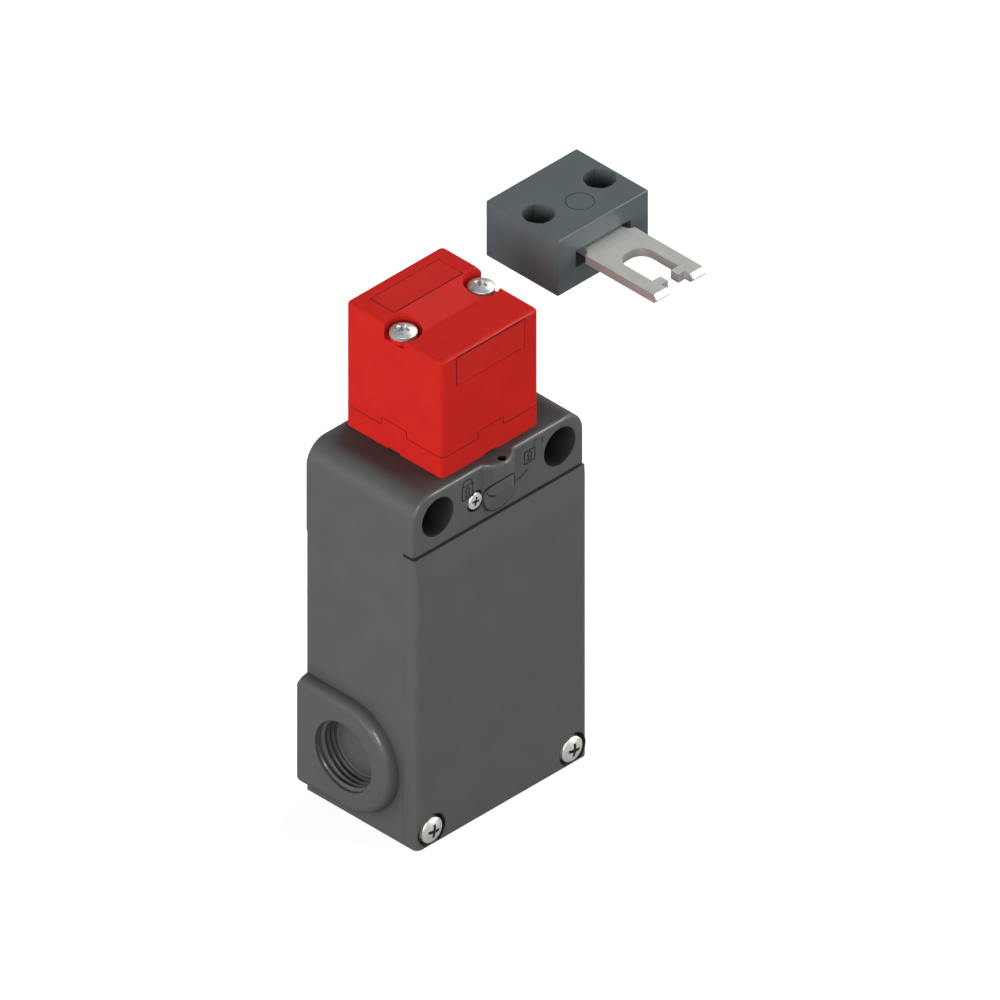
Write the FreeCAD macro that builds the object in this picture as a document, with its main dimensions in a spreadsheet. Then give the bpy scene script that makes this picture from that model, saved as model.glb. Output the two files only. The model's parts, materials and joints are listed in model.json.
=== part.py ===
import FreeCAD, Part
import os
import re
import Sketcher

# Tongue interlock switch with guard locking: housing, red head, release dial and its loose tongue actuator.
# Millimetres, +Z up. The origin is the centre of the housing's bottom face and the cover faces -Y.

doc = FreeCAD.newDocument("TongueInterlockSwitch")
sheet = doc.addObject("Spreadsheet::Sheet", "Sizes")

SIZES = {
    # moulded housing
    "housing_width": 56.0,
    "housing_depth": 36.0,
    "housing_height": 98.0,
    "housing_wall": 2.6,
    "upper_setback": 1.2,
    "rear_step": 0.25,
    "rear_step_drop": 24.4,
    "top_round": 6.0,
    "front_round": 1.0,
    "well_radius": 9.0,
    # cover, its seal and its two screws
    "cover_drop": 16.1,
    "cover_gap": 0.8,
    "cover_thickness": 2.6,
    "cover_skirt": 4.5,
    "cover_round": 1.6,
    "cover_slope_height": 7.0,
    "cover_slope_depth": 0.9,
    "gasket_inset": 1.2,
    "gasket_thickness": 0.8,
    "gasket_play": 0.1,
    "cover_screw_inset": 5.0,
    "cover_screw_height": 3.9,
    "cover_screw_head": 3.3,
    "cover_screw_head_height": 2.0,
    "cover_screw_shank": 1.5,
    "cover_screw_length": 15.0,
    "cover_recess_radius": 4.35,
    "cover_recess_depth": 2.1,
    "cover_pillar": 6.4,
    "screw_bevel": 0.35,
    # conduit entries on both sides
    "boss_face_radius": 13.7,
    "boss_root_radius": 14.9,
    "boss_height": 3.35,
    "boss_centre_depth": 20.9,
    "boss_centre_height": 18.4,
    "boss_crest": 1.0,
    "conduit_radius": 9.25,
    "conduit_depth": 6.0,
    "membrane": 1.2,
    "membrane_rim": 1.6,
    # fixing holes in the upper front
    "fixing_inset": 8.0,
    "fixing_drop": 7.25,
    "fixing_counterbore": 5.15,
    "fixing_hole": 2.7,
    "fixing_web": 6.0,
    # release dial with its cam, seal and locking screw
    "dial_drop": 9.6,
    "dial_radius": 5.28,
    "dial_play": 0.15,
    "dial_depth": 6.0,
    "dial_shaft": 2.2,
    "dial_slope_top": 0.45,
    "dial_slope_foot": 0.9,
    "seal_width": 1.2,
    "bulge_radius": 5.58,
    "bulge_reach": 2.85,
    "wire_hole": 1.1,
    "wire_hole_depth": 0.2,
    "release_cam_radius": 4.4,
    "release_cam_flat": 1.3,
    "release_cam_width": 2.6,
    "release_cam_setback": 2.3,
    "lock_screw_offset": 7.6,
    "lock_screw_rise": 0.7,
    "lock_screw_head": 2.2,
    "lock_screw_head_height": 1.6,
    "lock_screw_shank": 1.1,
    "lock_screw_length": 8.0,
    "lock_screw_recess": 2.85,
    # red head
    "head_width": 31.75,
    "head_depth": 31.75,
    "head_offset": 1.7,
    "head_wall": 2.2,
    "head_corner": 1.4,
    "head_edge": 1.0,
    "head_roof": 1.3,
    "head_web": 0.4,
    "head_front_rise": 32.8,
    "head_rear_rise": 2.1,
    "head_ramp_length": 8.0,
    "head_cavity_width": 17.2,
    "head_bay_wall": 2.675,
    "seam_height": 5.7,
    "seam_gap": 0.12,
    "tab_width": 8.2,
    "tab_height": 2.0,
    "tab_depth": 1.4,
    "spigot_length": 4.0,
    "pry_width": 4.0,
    "pry_height": 0.4,
    "head_screw_inset": 3.125,
    "head_screw_head": 3.3,
    "head_screw_head_height": 2.2,
    "head_screw_shank": 1.6,
    "head_screw_length": 40.0,
    "head_pocket_radius": 4.4,
    # the two key entries and their shutters
    "entry_inset": 4.675,
    "entry_height": 8.0,
    "entry_play": 0.18,
    "front_entry_drop": 4.7,
    "top_entry_inset": 7.375,
    "shutter_thickness": 1.4,
    "shutter_knuckle": 0.92,
    "shutter_pin": 0.5,
    "shutter_pin_bite": 1.4,
    "shutter_pin_play": 0.2,
    "shutter_spring_length": 4.0,
    "shutter_pin_inset": 0.3,
    "running_fit": 0.05,
    # cam and push rod
    "cam_drop": 14.6,
    "cam_radius": 7.3,
    "cam_width": 11.0,
    "cam_flat": 3.3,
    "cam_nose_reach": 11.0,
    "cam_nose_neck": 3.0,
    "cam_nose_head": 7.4,
    "cam_nose_thickness": 2.2,
    "cam_nose_angle": 40.0,
    "cam_track_play": 0.6,
    "axle_radius": 2.0,
    "axle_bite": 2.2,
    "rod_radius": 3.2,
    "rod_tip": 2.2,
    "rod_gap": 0.1,
    "rod_travel": 4.0,
    "rod_neck": 1.8,
    "rod_neck_height": 2.4,
    "rod_spring_radius": 2.4,
    # solenoid and lock blade
    "solenoid_headroom": 0.5,
    "solenoid_span": 19.6,
    "yoke_thickness": 2.0,
    "winding_inset": 0.8,
    "bobbin_flange": 1.0,
    "bobbin_tube": 4.4,
    "armature_radius": 3.4,
    "blade_thickness": 1.8,
    "blade_width": 6.4,
    "blade_gap": 0.5,
    "arm_thickness": 1.6,
    "armature_spring_radius": 2.2,
    "armature_spring_room": 2.5,
    "fork_depth": 3.4,
    "blade_heel": 1.3,
    "yoke_end_play": 0.5,
    "yoke_lead": 0.5,
    # contact block
    "block_headroom": 2.7,
    "block_side_room": 4.4,
    "block_lead": 3.3,
    "block_height": 25.0,
    "chamber_wall": 2.0,
    "chamber_rear": 4.5,
    "block_play": 0.1,
    "carrier_width": 7.0,
    "carrier_depth": 5.0,
    "carrier_foot": 2.5,
    "upper_bridge_drop": 2.2,
    "bridge_play": 1.5,
    "bridge_thickness": 0.8,
    "bridge_width": 3.0,
    "contact_gap": 0.1,
    "lead_reach": 3.0,
    "terminal_size": 6.0,
    "terminal_inset": 1.6,
    "terminal_wall": 2.4,
    "terminal_gap": 0.5,
    "terminal_screw_head": 2.6,
    "terminal_screw_shank": 1.4,
    "terminal_screw_height": 1.8,
    "thread_play": 0.02,
    "earth_width": 12.0,
    "earth_thickness": 1.2,
    "earth_screw_length": 2.4,
    "supply_width": 14.0,
    "supply_height": 15.0,
    "supply_depth": 10.2,
    "supply_well": 2.0,
    "supply_pitch": 7.2,
    "supply_screw_inset": 6.5,
    "supply_screw_height": 1.6,
    "supply_screw_length": 4.0,
    "spring_wire": 0.4,
    "coil_play": 0.02,
    "slack": 0.3,
    # loose actuator: block, tongue and pivot
    "actuator_gap": 8.3,
    "actuator_lag": 5.75,
    "actuator_drop": 0.7,
    "actuator_width": 29.8,
    "actuator_depth": 23.65,
    "actuator_height": 15.4,
    "actuator_edge": 0.4,
    "actuator_hole_side": 4.9,
    "actuator_hole_inset": 11.25,
    "actuator_hole": 2.25,
    "actuator_counterbore": 3.85,
    "actuator_hexagon": 4.1,
    "actuator_counterbore_depth": 7.0,
    "slot_side": 5.9,
    "slot_height": 4.7,
    "slot_drop": 5.5,
    "slot_depth": 17.0,
    "tongue_width": 16.1,
    "tongue_thickness": 2.4,
    "tongue_drop": 6.05,
    "tongue_reach": 25.7,
    "tongue_neck": 12.3,
    "tongue_shoulder": 2.25,
    "tongue_tail": 14.0,
    "tongue_pivot_inset": 9.5,
    "tongue_pivot": 1.5,
    "pivot_bite": 3.0,
    "washer_width": 2.2,
    "centring_spring_radius": 1.3,
    "centring_wire": 0.28,
    "window_width": 8.6,
    "window_start": 8.25,
    "window_round": 3.6,
    "hook_gap": 3.4,
    "hook_setback": 5.3,
    "hook_length": 2.5,
    "mouth_width": 7.8,
    "tip_bevel": 1.0,
    "plate_thickness": 1.2,
    "plate_inset": 2.5,
}

# sizes that follow from others
DERIVED = {
    "rear_step_height": "housing_height - rear_step_drop",
    "cover_height": "housing_height - cover_drop",
    "cover_screw_pitch": "housing_width - 2*cover_screw_inset",
    "fixing_pitch": "housing_width - 2*fixing_inset",
    "fixing_height": "housing_height - fixing_drop",
    "dial_height": "housing_height - dial_drop",
    "head_front_top": "housing_height + head_front_rise",
    "head_rear_top": "head_front_top + head_rear_rise",
    "head_screw_pitch": "head_width - 2*head_screw_inset",
    "head_bay_width": "head_width - 2*head_bay_wall",
    "entry_width": "head_width - 2*entry_inset",
    "front_entry_level": "head_front_top - front_entry_drop",
    "top_entry_offset": "head_offset + head_depth/2 - top_entry_inset",
    "head_ramp_rear": "head_depth - top_entry_inset - entry_height/2",
    "head_ramp_front": "head_ramp_rear - head_ramp_length",
    "cam_height": "head_front_top - cam_drop",
    "solenoid_height": "cover_height - housing_wall - solenoid_headroom - solenoid_span/2",
    "winding_radius": "solenoid_span/2 - winding_inset",
    "block_top": "solenoid_height - solenoid_span/2 - block_headroom",
    "block_width": "housing_width - 2*housing_wall - 2*block_side_room",
    "block_depth": "housing_depth/2 - housing_wall - head_offset + block_lead",
    "chamber_width": "block_width - 2*terminal_inset - 2*terminal_size - 2*terminal_wall",
    "bridge_length": "chamber_width - 2*bridge_play",
    "lower_bridge_drop": "upper_bridge_drop + terminal_size + terminal_gap",
    "actuator_offset": "housing_width/2 + actuator_gap + actuator_width/2",
    "actuator_rear": "housing_depth/2 + actuator_lag",
    "actuator_top": "head_rear_top - actuator_drop",
    "actuator_hole_pitch": "actuator_width - 2*actuator_hole_side",
    "slot_width": "actuator_width - 2*slot_side",
    "hook_start": "tongue_reach - hook_setback",
}
NAMES = {**SIZES, **DERIVED}

for row, (alias, size) in enumerate(NAMES.items(), 1):
    sheet.set(f"A{row}", alias)
    sheet.setAlias(f"B{row}", alias)
    sheet.set(f"B{row}", "=" + size if alias in DERIVED else str(size))
doc.recompute()

# shares of a piece's own size, for joins and holes that end inside it
HEAD_SHARE = 0.5
NOSE_ROOT = 0.7
HOLE_SHARE = 0.8
SCREW_SHARE = 0.7
SEAL_SHARE = 0.6
LEVER_ROOT = 0.35
# an edge lies at a place when it is as near as this
CLOSE = 0.01


def bound(text):
    """Turn a formula in plain size names into one that reads the spreadsheet."""
    return re.sub(r"[a-z_]\w*",
                  lambda word: "Sizes." + word.group() if word.group() in NAMES else word.group(), text)


def measure(text):
    """The present value of a formula in size names."""
    return float(sheet.evalExpression(bound(text)))


def about(centre, width):
    """Low and high ends of a span centred on a place."""
    return f"({centre}) - ({width})/2", f"({centre}) + ({width})/2"


def put(solid, x, y, z):
    """Tie a solid's place to the sizes."""
    for axis, place in zip("xyz", (x, y, z)):
        solid.setExpression("Placement.Base." + axis, bound(place))


def box(name, x, y, z):
    """A block between two ends on each axis."""
    solid = doc.addObject("Part::Box", name)
    put(solid, x[0], y[0], z[0])
    for side, ends in zip(("Length", "Width", "Height"), (x, y, z)):
        solid.setExpression(side, bound(f"({ends[1]}) - ({ends[0]})"))
    return solid


TURNS = {
    "x": FreeCAD.Rotation(FreeCAD.Vector(0, 1, 0), 90),
    "y": FreeCAD.Rotation(FreeCAD.Vector(1, 0, 0), -90),
    "z": FreeCAD.Rotation(),
}


def along(solid, axis, centre, start):
    """Stand a round solid on an axis, at a centre given by its two other coordinates."""
    solid.Placement.Rotation = TURNS[axis]
    places = list(centre)
    places.insert("xyz".index(axis), start)
    put(solid, *places)


def rod(name, axis, centre, radius, span):
    """A cylinder along an axis."""
    solid = doc.addObject("Part::Cylinder", name)
    along(solid, axis, centre, span[0])
    solid.setExpression("Radius", bound(radius))
    solid.setExpression("Height", bound(f"({span[1]}) - ({span[0]})"))
    return solid


def fuse(name, *solids):
    """Solids joined into one."""
    result = doc.addObject("Part::MultiFuse", name)
    result.Shapes = list(solids)
    result.Refine = True
    return result


def cut(name, base, *tools):
    """A solid with others taken out of it."""
    result = doc.addObject("Part::Cut", name)
    result.Base = base
    result.Tool = tools[0] if len(tools) == 1 else fuse(name + "_tools", *tools)
    result.Refine = True
    return result


def rounded(name, base, radius, chosen):
    """Fillet the edges of a solid that a test picks."""
    doc.recompute()
    size = measure(radius)
    result = doc.addObject("Part::Fillet", name)
    result.Base = base
    result.Edges = [(index, size, size) for index, edge in enumerate(base.Shape.Edges, 1) if chosen(edge)]
    return result


def turned(name, base, centre, angle):
    """A solid turned about the X axis through a centre given by Y and Z."""
    result = doc.addObject("Part::Feature", name)
    doc.recompute()
    shape = base.Shape.copy()
    pivot = FreeCAD.Vector(0, measure(centre[0]), measure(centre[1]))
    shape.rotate(pivot, FreeCAD.Vector(1, 0, 0), measure(angle))
    result.Shape = shape
    return result


def outline(name, plane, points):
    """A closed sketch of straight lines through points given as formulas."""
    sketch = doc.addObject("Sketcher::SketchObject", name)
    sketch.Placement.Rotation = {
        "xy": FreeCAD.Rotation(),
        "yz": FreeCAD.Rotation(FreeCAD.Vector(1, 1, 1), 120),
    }[plane]
    corners = [FreeCAD.Vector(measure(across), measure(up), 0) for across, up in points]
    for start, end in zip(corners, corners[1:] + corners[:1]):
        sketch.addGeometry(Part.LineSegment(start, end), False)
    count = len(points)
    for index in range(count):
        sketch.addConstraint(Sketcher.Constraint("Coincident", index, 2, (index + 1) % count, 1))
    for index, (across, up) in enumerate(points):
        for kind, formula in (("DistanceX", across), ("DistanceY", up)):
            number = sketch.addConstraint(Sketcher.Constraint(kind, -1, 1, index, 1, measure(formula)))
            sketch.setExpression(f"Constraints[{number}]", bound(formula))
    return sketch


def extrude(name, sketch, direction, length, symmetric=False):
    """A sketch drawn out into a solid."""
    result = doc.addObject("Part::Extrusion", name)
    result.Base = sketch
    result.DirMode = "Custom"
    result.Dir = FreeCAD.Vector(*direction)
    result.setExpression("LengthFwd", bound(length))
    result.Symmetric = symmetric
    result.Solid = True
    return result


def is_upright(edge):
    """Whether a straight edge runs along Z."""
    return edge.Curve.TypeId == "Part::GeomLine" and abs(edge.tangentAt(edge.FirstParameter).z) > 0.999


def lies_at(edge, axis, place):
    """Whether a whole edge lies at one place on an axis."""
    low = getattr(edge.BoundBox, axis + "Min")
    high = getattr(edge.BoundBox, axis + "Max")
    return abs(low - place) < CLOSE and abs(high - place) < CLOSE


def screw(name, axis, centre, top, inward, head, head_height, shank, length):
    """A plain screw, from the top of its head inward along an axis (+1 or -1)."""
    def span(start, end):
        ends = [f"({top}) + {inward} * ({place})" for place in (start, end)]
        return ends if inward > 0 else ends[::-1]

    cap = rod(name + "_cap", axis, centre, head, span("0", head_height))
    body = rod(name + "_body", axis, centre, shank,
               span(f"{head_height} * {HEAD_SHARE}", f"{head_height} + {length}"))
    return fuse(name, cap, body)


def pan_screw(name, axis, centre, top, inward, head, head_height, shank, length):
    """A screw whose head has a broken edge."""
    plain = screw(name + "_plain", axis, centre, top, inward, head, head_height, shank, length)
    doc.recompute()
    crown = measure(top)
    bevel = measure(f"{head_height} * screw_bevel")
    result = doc.addObject("Part::Chamfer", name)
    result.Base = plain
    result.Edges = [(index, bevel, bevel) for index, edge in enumerate(plain.Shape.Edges, 1)
                    if lies_at(edge, axis.upper(), crown)]
    return result


pieces = {}


def piece(label, solid):
    """Name a finished sub-part after its node."""
    pieces[label] = solid
    return solid


# places that several sub-parts share
front = "(-housing_depth/2)"
rear = "(housing_depth/2)"
inner_rear = f"({rear} - housing_wall)"
rim = f"({front} + cover_skirt)"
upper_front = f"({front} + upper_setback)"
upper_rear = f"({rear} + rear_step)"
upper_base = "(cover_height + cover_gap)"
inner_half = "(housing_width/2 - housing_wall)"
cavity_top = "(cover_height - housing_wall)"
boss_y = f"({front} + boss_centre_depth)"
boss_face = "(housing_width/2 + boss_height)"
head_y = "(head_offset)"
head_front = f"({head_y} - head_depth/2)"
head_back = f"({head_y} + head_depth/2)"
seam = "(housing_height + seam_height)"
dial_back = f"({upper_front} + dial_depth)"
well_front = f"({head_y} - well_radius)"


def make_housing():
    """The moulded housing: upper block, open-fronted cavity, two conduit bosses and the bulge."""
    full_width = about("0", "housing_width + 2")
    blank = box("housing_blank", about("0", "housing_width"), (upper_front, upper_rear),
                ("0", "housing_height"))
    doc.recompute()
    top, half = measure("housing_height"), measure("housing_width/2")
    shoulders = rounded(
        "housing_shoulders", blank, "top_round",
        lambda edge: lies_at(edge, "Z", top) and abs(abs(edge.CenterOfMass.x) - half) < CLOSE)
    face = measure(upper_front)
    softened = rounded(
        "housing_softened", shoulders, "front_round",
        lambda edge: lies_at(edge, "Y", face) and edge.CenterOfMass.z > CLOSE)
    lower = cut(
        "housing_lower", softened,
        box("rear_relief", full_width, (rear, f"{upper_rear} + 1"), ("-1", "rear_step_height")),
        box("cover_relief", full_width, (f"{front} - 1", rim), ("-1", upper_base)))
    bulge = rod("bulge_column", "z", ("0", f"{upper_front} - bulge_reach + bulge_radius"), "bulge_radius",
                ("dial_height", "housing_height"))
    doc.recompute()
    crowned = rounded("bulge", bulge, "front_round", lambda edge: lies_at(edge, "Z", top))
    bosses = [conduit_boss(side) for side in (-1, 1)]
    outer = fuse("housing_outer", lower, crowned, *bosses)
    room = cut(
        "housing_room", outer,
        box("cavity", about("0", f"2 * {inner_half}"), (f"{rim} - 1", inner_rear),
            ("housing_wall", cavity_top)),
        rod("well", "z", ("0", head_y), "well_radius", (f"{cavity_top} - 1", "housing_height + 1")))
    inner = [room]
    for side in (-1, 1):
        name = "left" if side < 0 else "right"
        ends = (f"{boss_face} - conduit_depth - membrane", f"{inner_half} + housing_wall/2")
        inner.append(rod(f"membrane_seat_{name}", "x", (boss_y, "boss_centre_height"),
                         "conduit_radius + membrane_rim", mirrored_span(side, *ends)))
        pillar = mirrored_span(side, f"{inner_half} - cover_pillar", f"{inner_half} + housing_wall/2")
        inner.append(box(f"pillar_{name}", pillar, (rim, f"{inner_rear} + housing_wall/2"),
                         ("housing_wall/2", "cover_screw_height + cover_pillar/2 + 1")))
    bores = []
    for side in (-1, 1):
        name = "left" if side < 0 else "right"
        bores.append(rod(f"conduit_{name}", "x", (boss_y, "boss_centre_height"), "conduit_radius",
                         mirrored_span(side, f"{boss_face} - conduit_depth", f"{boss_face} + 1")))
        hole = (f"{side} * fixing_pitch/2", "fixing_height")
        bores.append(rod(f"fixing_counterbore_{name}", "y", hole, "fixing_counterbore",
                         (f"{upper_front} - 1", f"{upper_rear} - fixing_web")))
        bores.append(rod(f"fixing_hole_{name}", "y", hole, "fixing_hole",
                         (f"{upper_rear} - fixing_web - 1", f"{upper_rear} + 1")))
        bores.append(rod(f"cover_thread_{name}", "y",
                         (f"{side} * cover_screw_pitch/2", "cover_screw_height"),
                         "cover_screw_shank + running_fit",
                         (f"{rim} - 1", f"{front} + cover_screw_length + 1")))
        bores.append(rod(f"head_thread_{name}", "z", (f"{side} * head_screw_pitch/2", head_y),
                         "head_screw_shank + running_fit",
                         ("head_front_top - head_screw_head_height - head_screw_length - 1",
                          "housing_height + 1")))
    bores.append(rod("dial_bore", "y", ("0", "dial_height"), "dial_radius + dial_play",
                     (f"{upper_front} - bulge_reach - 1", dial_back)))
    bores.append(rod("dial_shaft_bore", "y", ("0", "dial_height"), "dial_shaft + running_fit",
                     (f"{dial_back} - 1", head_y)))
    lock = ("-lock_screw_offset", "dial_height + lock_screw_rise")
    bores.append(rod("lock_screw_recess", "y", lock, "lock_screw_recess",
                     (f"{upper_front} - 1", f"{upper_front} + lock_screw_head_height")))
    bores.append(rod("lock_screw_thread", "y", lock, "lock_screw_shank + running_fit",
                     (f"{upper_front} - 1",
                      f"{upper_front} + lock_screw_head_height + lock_screw_length + slack")))
    bores.append(rod("seal_wire_hole", "z", ("0", f"{front} + wire_hole_depth"), "wire_hole",
                     ("dial_height", "housing_height + 1")))
    bores.append(rod("earth_thread", "y", ("0", "housing_wall + earth_width/2 + 1"),
                     "terminal_screw_shank + running_fit",
                     (f"{inner_rear} - 1", f"{inner_rear} + earth_screw_length - earth_thickness + slack")))
    return piece("housing_body", cut("housing_finished", fuse("housing_walls", *inner), *bores))


def mirrored_span(side, low, high):
    """A span out from the middle, on the right (+1) or on the left (-1)."""
    return (low, high) if side > 0 else (f"-({high})", f"-({low})")


def conduit_boss(side):
    """A raised entry, half round to the front and straight to the back, with a sloped flank."""
    name = "left" if side < 0 else "right"
    nose = doc.addObject("Part::Cone", f"boss_nose_{name}")
    nose.Placement.Rotation = FreeCAD.Rotation(FreeCAD.Vector(0, 1, 0), 90 * side)
    put(nose, f"{side} * housing_width/2", boss_y, "boss_centre_height")
    nose.setExpression("Radius1", bound("boss_root_radius"))
    nose.setExpression("Radius2", bound("boss_face_radius"))
    nose.setExpression("Height", bound("boss_height"))
    tail = doc.addObject("Part::Wedge", f"boss_tail_{name}")
    tail.Placement.Rotation = FreeCAD.Rotation(FreeCAD.Vector(0, 0, 1), -90 * side)
    put(tail, f"{side} * housing_width/2", "0", "boss_centre_height")
    ends = [f"-({rear})", f"-({boss_y})"] if side > 0 else [boss_y, rear]
    for cell, formula in (
            ("Xmin", ends[0]), ("Xmax", ends[1]), ("X2min", ends[0]), ("X2max", ends[1]),
            ("Ymin", "0"), ("Ymax", "boss_height"),
            ("Zmin", "-boss_root_radius"), ("Zmax", "boss_root_radius"),
            ("Z2min", "-boss_face_radius"), ("Z2max", "boss_face_radius")):
        tail.setExpression(cell, bound(formula))
    whole = fuse(f"boss_blank_{name}", nose, tail)
    doc.recompute()
    face, back = side * measure(boss_face), measure(rear)
    return rounded(f"boss_{name}", whole, "boss_crest",
                   lambda edge: lies_at(edge, "X", face) and not lies_at(edge, "Y", back))


def make_cover():
    """The front cover: a shallow tray with a leaning top, two screw recesses and a rabbet for the seal."""
    plate = box("cover_blank", about("0", "housing_width"), (front, rim), ("0", "cover_height"))
    doc.recompute()
    face = measure(front)
    softened = rounded("cover_softened", plate, "cover_round",
                       lambda edge: is_upright(edge) and lies_at(edge, "Y", face))
    slope = outline("cover_slope_profile", "yz", (
        (f"{front} - 1", "cover_height - cover_slope_height"),
        (front, "cover_height - cover_slope_height"),
        (f"{front} + cover_slope_depth", "cover_height"),
        (f"{front} + cover_slope_depth", "cover_height + 1"),
        (f"{front} - 1", "cover_height + 1")))
    lean = extrude("cover_slope", slope, (1, 0, 0), "housing_width + 2", symmetric=True)
    room = box("cover_room", about("0", f"2 * {inner_half}"), (f"{front} + cover_thickness", f"{rim} + 1"),
               ("housing_wall", cavity_top))
    rabbet = box("cover_rabbet", about("0", "housing_width - 2*gasket_inset"),
                 (f"{rim} - gasket_thickness", f"{rim} + 1"),
                 ("gasket_inset", "cover_height - gasket_inset"))
    tray = cut("cover_tray", softened, lean, room, rabbet)
    lands = []
    holes = []
    for side in (-1, 1):
        name = "left" if side < 0 else "right"
        lands.append(box(f"cover_land_{name}",
                         mirrored_span(side, f"{inner_half} - cover_pillar", inner_half),
                         (f"{front} + cover_thickness/2", rim),
                         ("housing_wall", "cover_screw_height + cover_pillar/2 + 1")))
        place = (f"{side} * cover_screw_pitch/2", "cover_screw_height")
        holes.append(rod(f"cover_recess_{name}", "y", place, "cover_recess_radius",
                         (f"{front} - 1", f"{front} + cover_recess_depth")))
        holes.append(rod(f"cover_hole_{name}", "y", place, "cover_screw_shank + running_fit",
                         (f"{front} - 1", f"{rim} + 1")))
    piece("housing_cover", cut("cover_finished", fuse("cover_landed", tray, *lands), *holes))
    seal_outer = box("gasket_outer", about("0", "housing_width - 2*gasket_inset - 2*gasket_play"),
                     (f"{rim} - gasket_thickness", rim),
                     ("gasket_inset + gasket_play", "cover_height - gasket_inset - gasket_play"))
    seal_inner = box("gasket_inner", about("0", f"2 * {inner_half}"),
                     (f"{rim} - gasket_thickness - 1", f"{rim} + 1"),
                     ("housing_wall", cavity_top))
    ways = [rod(f"gasket_way_{side}", "y", (f"{side} * cover_screw_pitch/2", "cover_screw_height"),
                "cover_screw_shank + running_fit",
                (f"{rim} - gasket_thickness - 1", f"{rim} + 1")) for side in (-1, 1)]
    piece("cover_gasket", cut("gasket_finished", seal_outer, seal_inner, *ways))
    for side in (-1, 1):
        name = "left" if side < 0 else "right"
        piece(f"cover_screw_{name}", pan_screw(
            f"cover_screw_{name}_made", "y", (f"{side} * cover_screw_pitch/2", "cover_screw_height"),
            f"{front} + cover_recess_depth - cover_screw_head_height", 1,
            "cover_screw_head", "cover_screw_head_height", "cover_screw_shank",
            "cover_screw_length - cover_recess_depth"))


def make_head():
    """The red head: a collar on the housing and the shell with its two key entries."""
    footprint_x = about("0", "head_width")
    footprint_y = (head_front, head_back)
    collar_blank = box("collar_blank", footprint_x, footprint_y, ("housing_height", seam))
    collar_round = rounded("collar_round", collar_blank, "head_corner", is_upright)
    spigot = rod("collar_spigot", "z", ("0", head_y), "well_radius - running_fit",
                 ("housing_height - spigot_length", f"{seam} - 1"))
    collar_solid = fuse("collar_solid", collar_round, spigot, *crenel_tabs("tab", "0"))
    holes = [rod("rod_guide", "z", ("0", head_y), "rod_tip + running_fit",
                 ("housing_height - spigot_length - 1", f"{seam} + 1"))]
    holes += [screw_clearance(side, f"collar_screw_{side}") for side in (-1, 1)]
    pry_z = ("housing_height - 1", "housing_height + pry_height")
    pry_in = "tab_depth/2"
    holes += [
        box("pry_front", about("0", "pry_width"), (f"{head_front} - 1", f"{head_front} + {pry_in}"), pry_z),
        box("pry_back", about("0", "pry_width"), (f"{head_back} - {pry_in}", f"{head_back} + 1"), pry_z),
        box("pry_left", ("-head_width/2 - 1", f"-head_width/2 + {pry_in}"), about(head_y, "pry_width"),
            pry_z),
        box("pry_right", (f"head_width/2 - {pry_in}", "head_width/2 + 1"), about(head_y, "pry_width"),
            pry_z)]
    piece("head_collar", cut("collar_finished", collar_solid, *holes))

    profile = outline("head_profile", "yz", (
        (head_front, f"{seam} + seam_gap"),
        (head_front, "head_front_top"),
        (f"{head_front} + head_ramp_front", "head_front_top"),
        (f"{head_front} + head_ramp_rear", "head_rear_top"),
        (head_back, "head_rear_top"),
        (head_back, f"{seam} + seam_gap")))
    block = extrude("head_block", profile, (1, 0, 0), "head_width", symmetric=True)
    corners = rounded("head_corners", block, "head_corner", is_upright)
    low_top = measure("head_front_top") - CLOSE
    crown = rounded("head_crown", corners, "head_edge", lambda edge: edge.BoundBox.ZMin > low_top and not (
        abs(edge.BoundBox.YMax - edge.BoundBox.YMin) < CLOSE
        and measure(head_front) + 1 < edge.CenterOfMass.y < measure(head_back) - 1))
    roof = "(head_front_top - head_roof)"
    entry_low = "(front_entry_level - entry_height/2)"
    entry_high = "(front_entry_level + entry_height/2)"
    bay = about("0", "head_bay_width")
    screw_wall = "(head_pocket_radius + head_web)"
    rooms = [
        box("head_room", about("0", "head_cavity_width"),
            (f"{head_front} + head_wall", f"{head_back} - head_wall"),
            (f"{seam} - 1", "head_front_top - head_screw_head_height - head_web")),
        box("head_front_bay", bay, (f"{head_front} + head_wall", f"{head_y} - {screw_wall}"),
            (f"{seam} - 1", roof)),
        box("head_rear_bay", bay, (f"{head_y} + {screw_wall}", f"{head_back} - head_wall"),
            (f"{seam} - 1", "head_rear_top - head_roof")),
        box("front_entry", about("0", "entry_width"),
            (f"{head_front} - 1", f"{head_front} + head_wall + 0.5"),
            (entry_low, entry_high)),
        box("top_entry", about("0", "entry_width"), about("top_entry_offset", "entry_height"),
            ("head_front_top - head_screw_head_height", "head_rear_top + 1"))]
    for side in (-1, 1):
        rooms.append(screw_clearance(side, f"shell_screw_{side}"))
        rooms.append(rod(f"screw_pocket_{side}", "z", (f"{side} * head_screw_pitch/2", head_y),
                         "head_pocket_radius", ("head_front_top - head_screw_head_height",
                                                "head_rear_top + 1")))
    rooms.append(rod("axle_hole", "x", (head_y, "cam_height"), "axle_radius",
                     about("0", "head_cavity_width + 2*axle_bite")))
    for name, (pin_y, pin_z) in (("front", front_pin), ("top", top_pin)):
        rooms.append(rod(f"{name}_pin_hole", "x", (pin_y, pin_z), "shutter_pin",
                         about("0", "entry_width + 2*shutter_pin_bite")))
    rooms += crenel_tabs("notch", "running_fit")
    piece("head_shell", cut("head_finished", crown, *rooms))
    for side in (-1, 1):
        name = "left" if side < 0 else "right"
        piece(f"head_screw_{name}", pan_screw(
            f"head_screw_{name}_made", "z", (f"{side} * head_screw_pitch/2", head_y), "head_front_top", -1,
            "head_screw_head", "head_screw_head_height", "head_screw_shank", "head_screw_length"))


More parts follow.
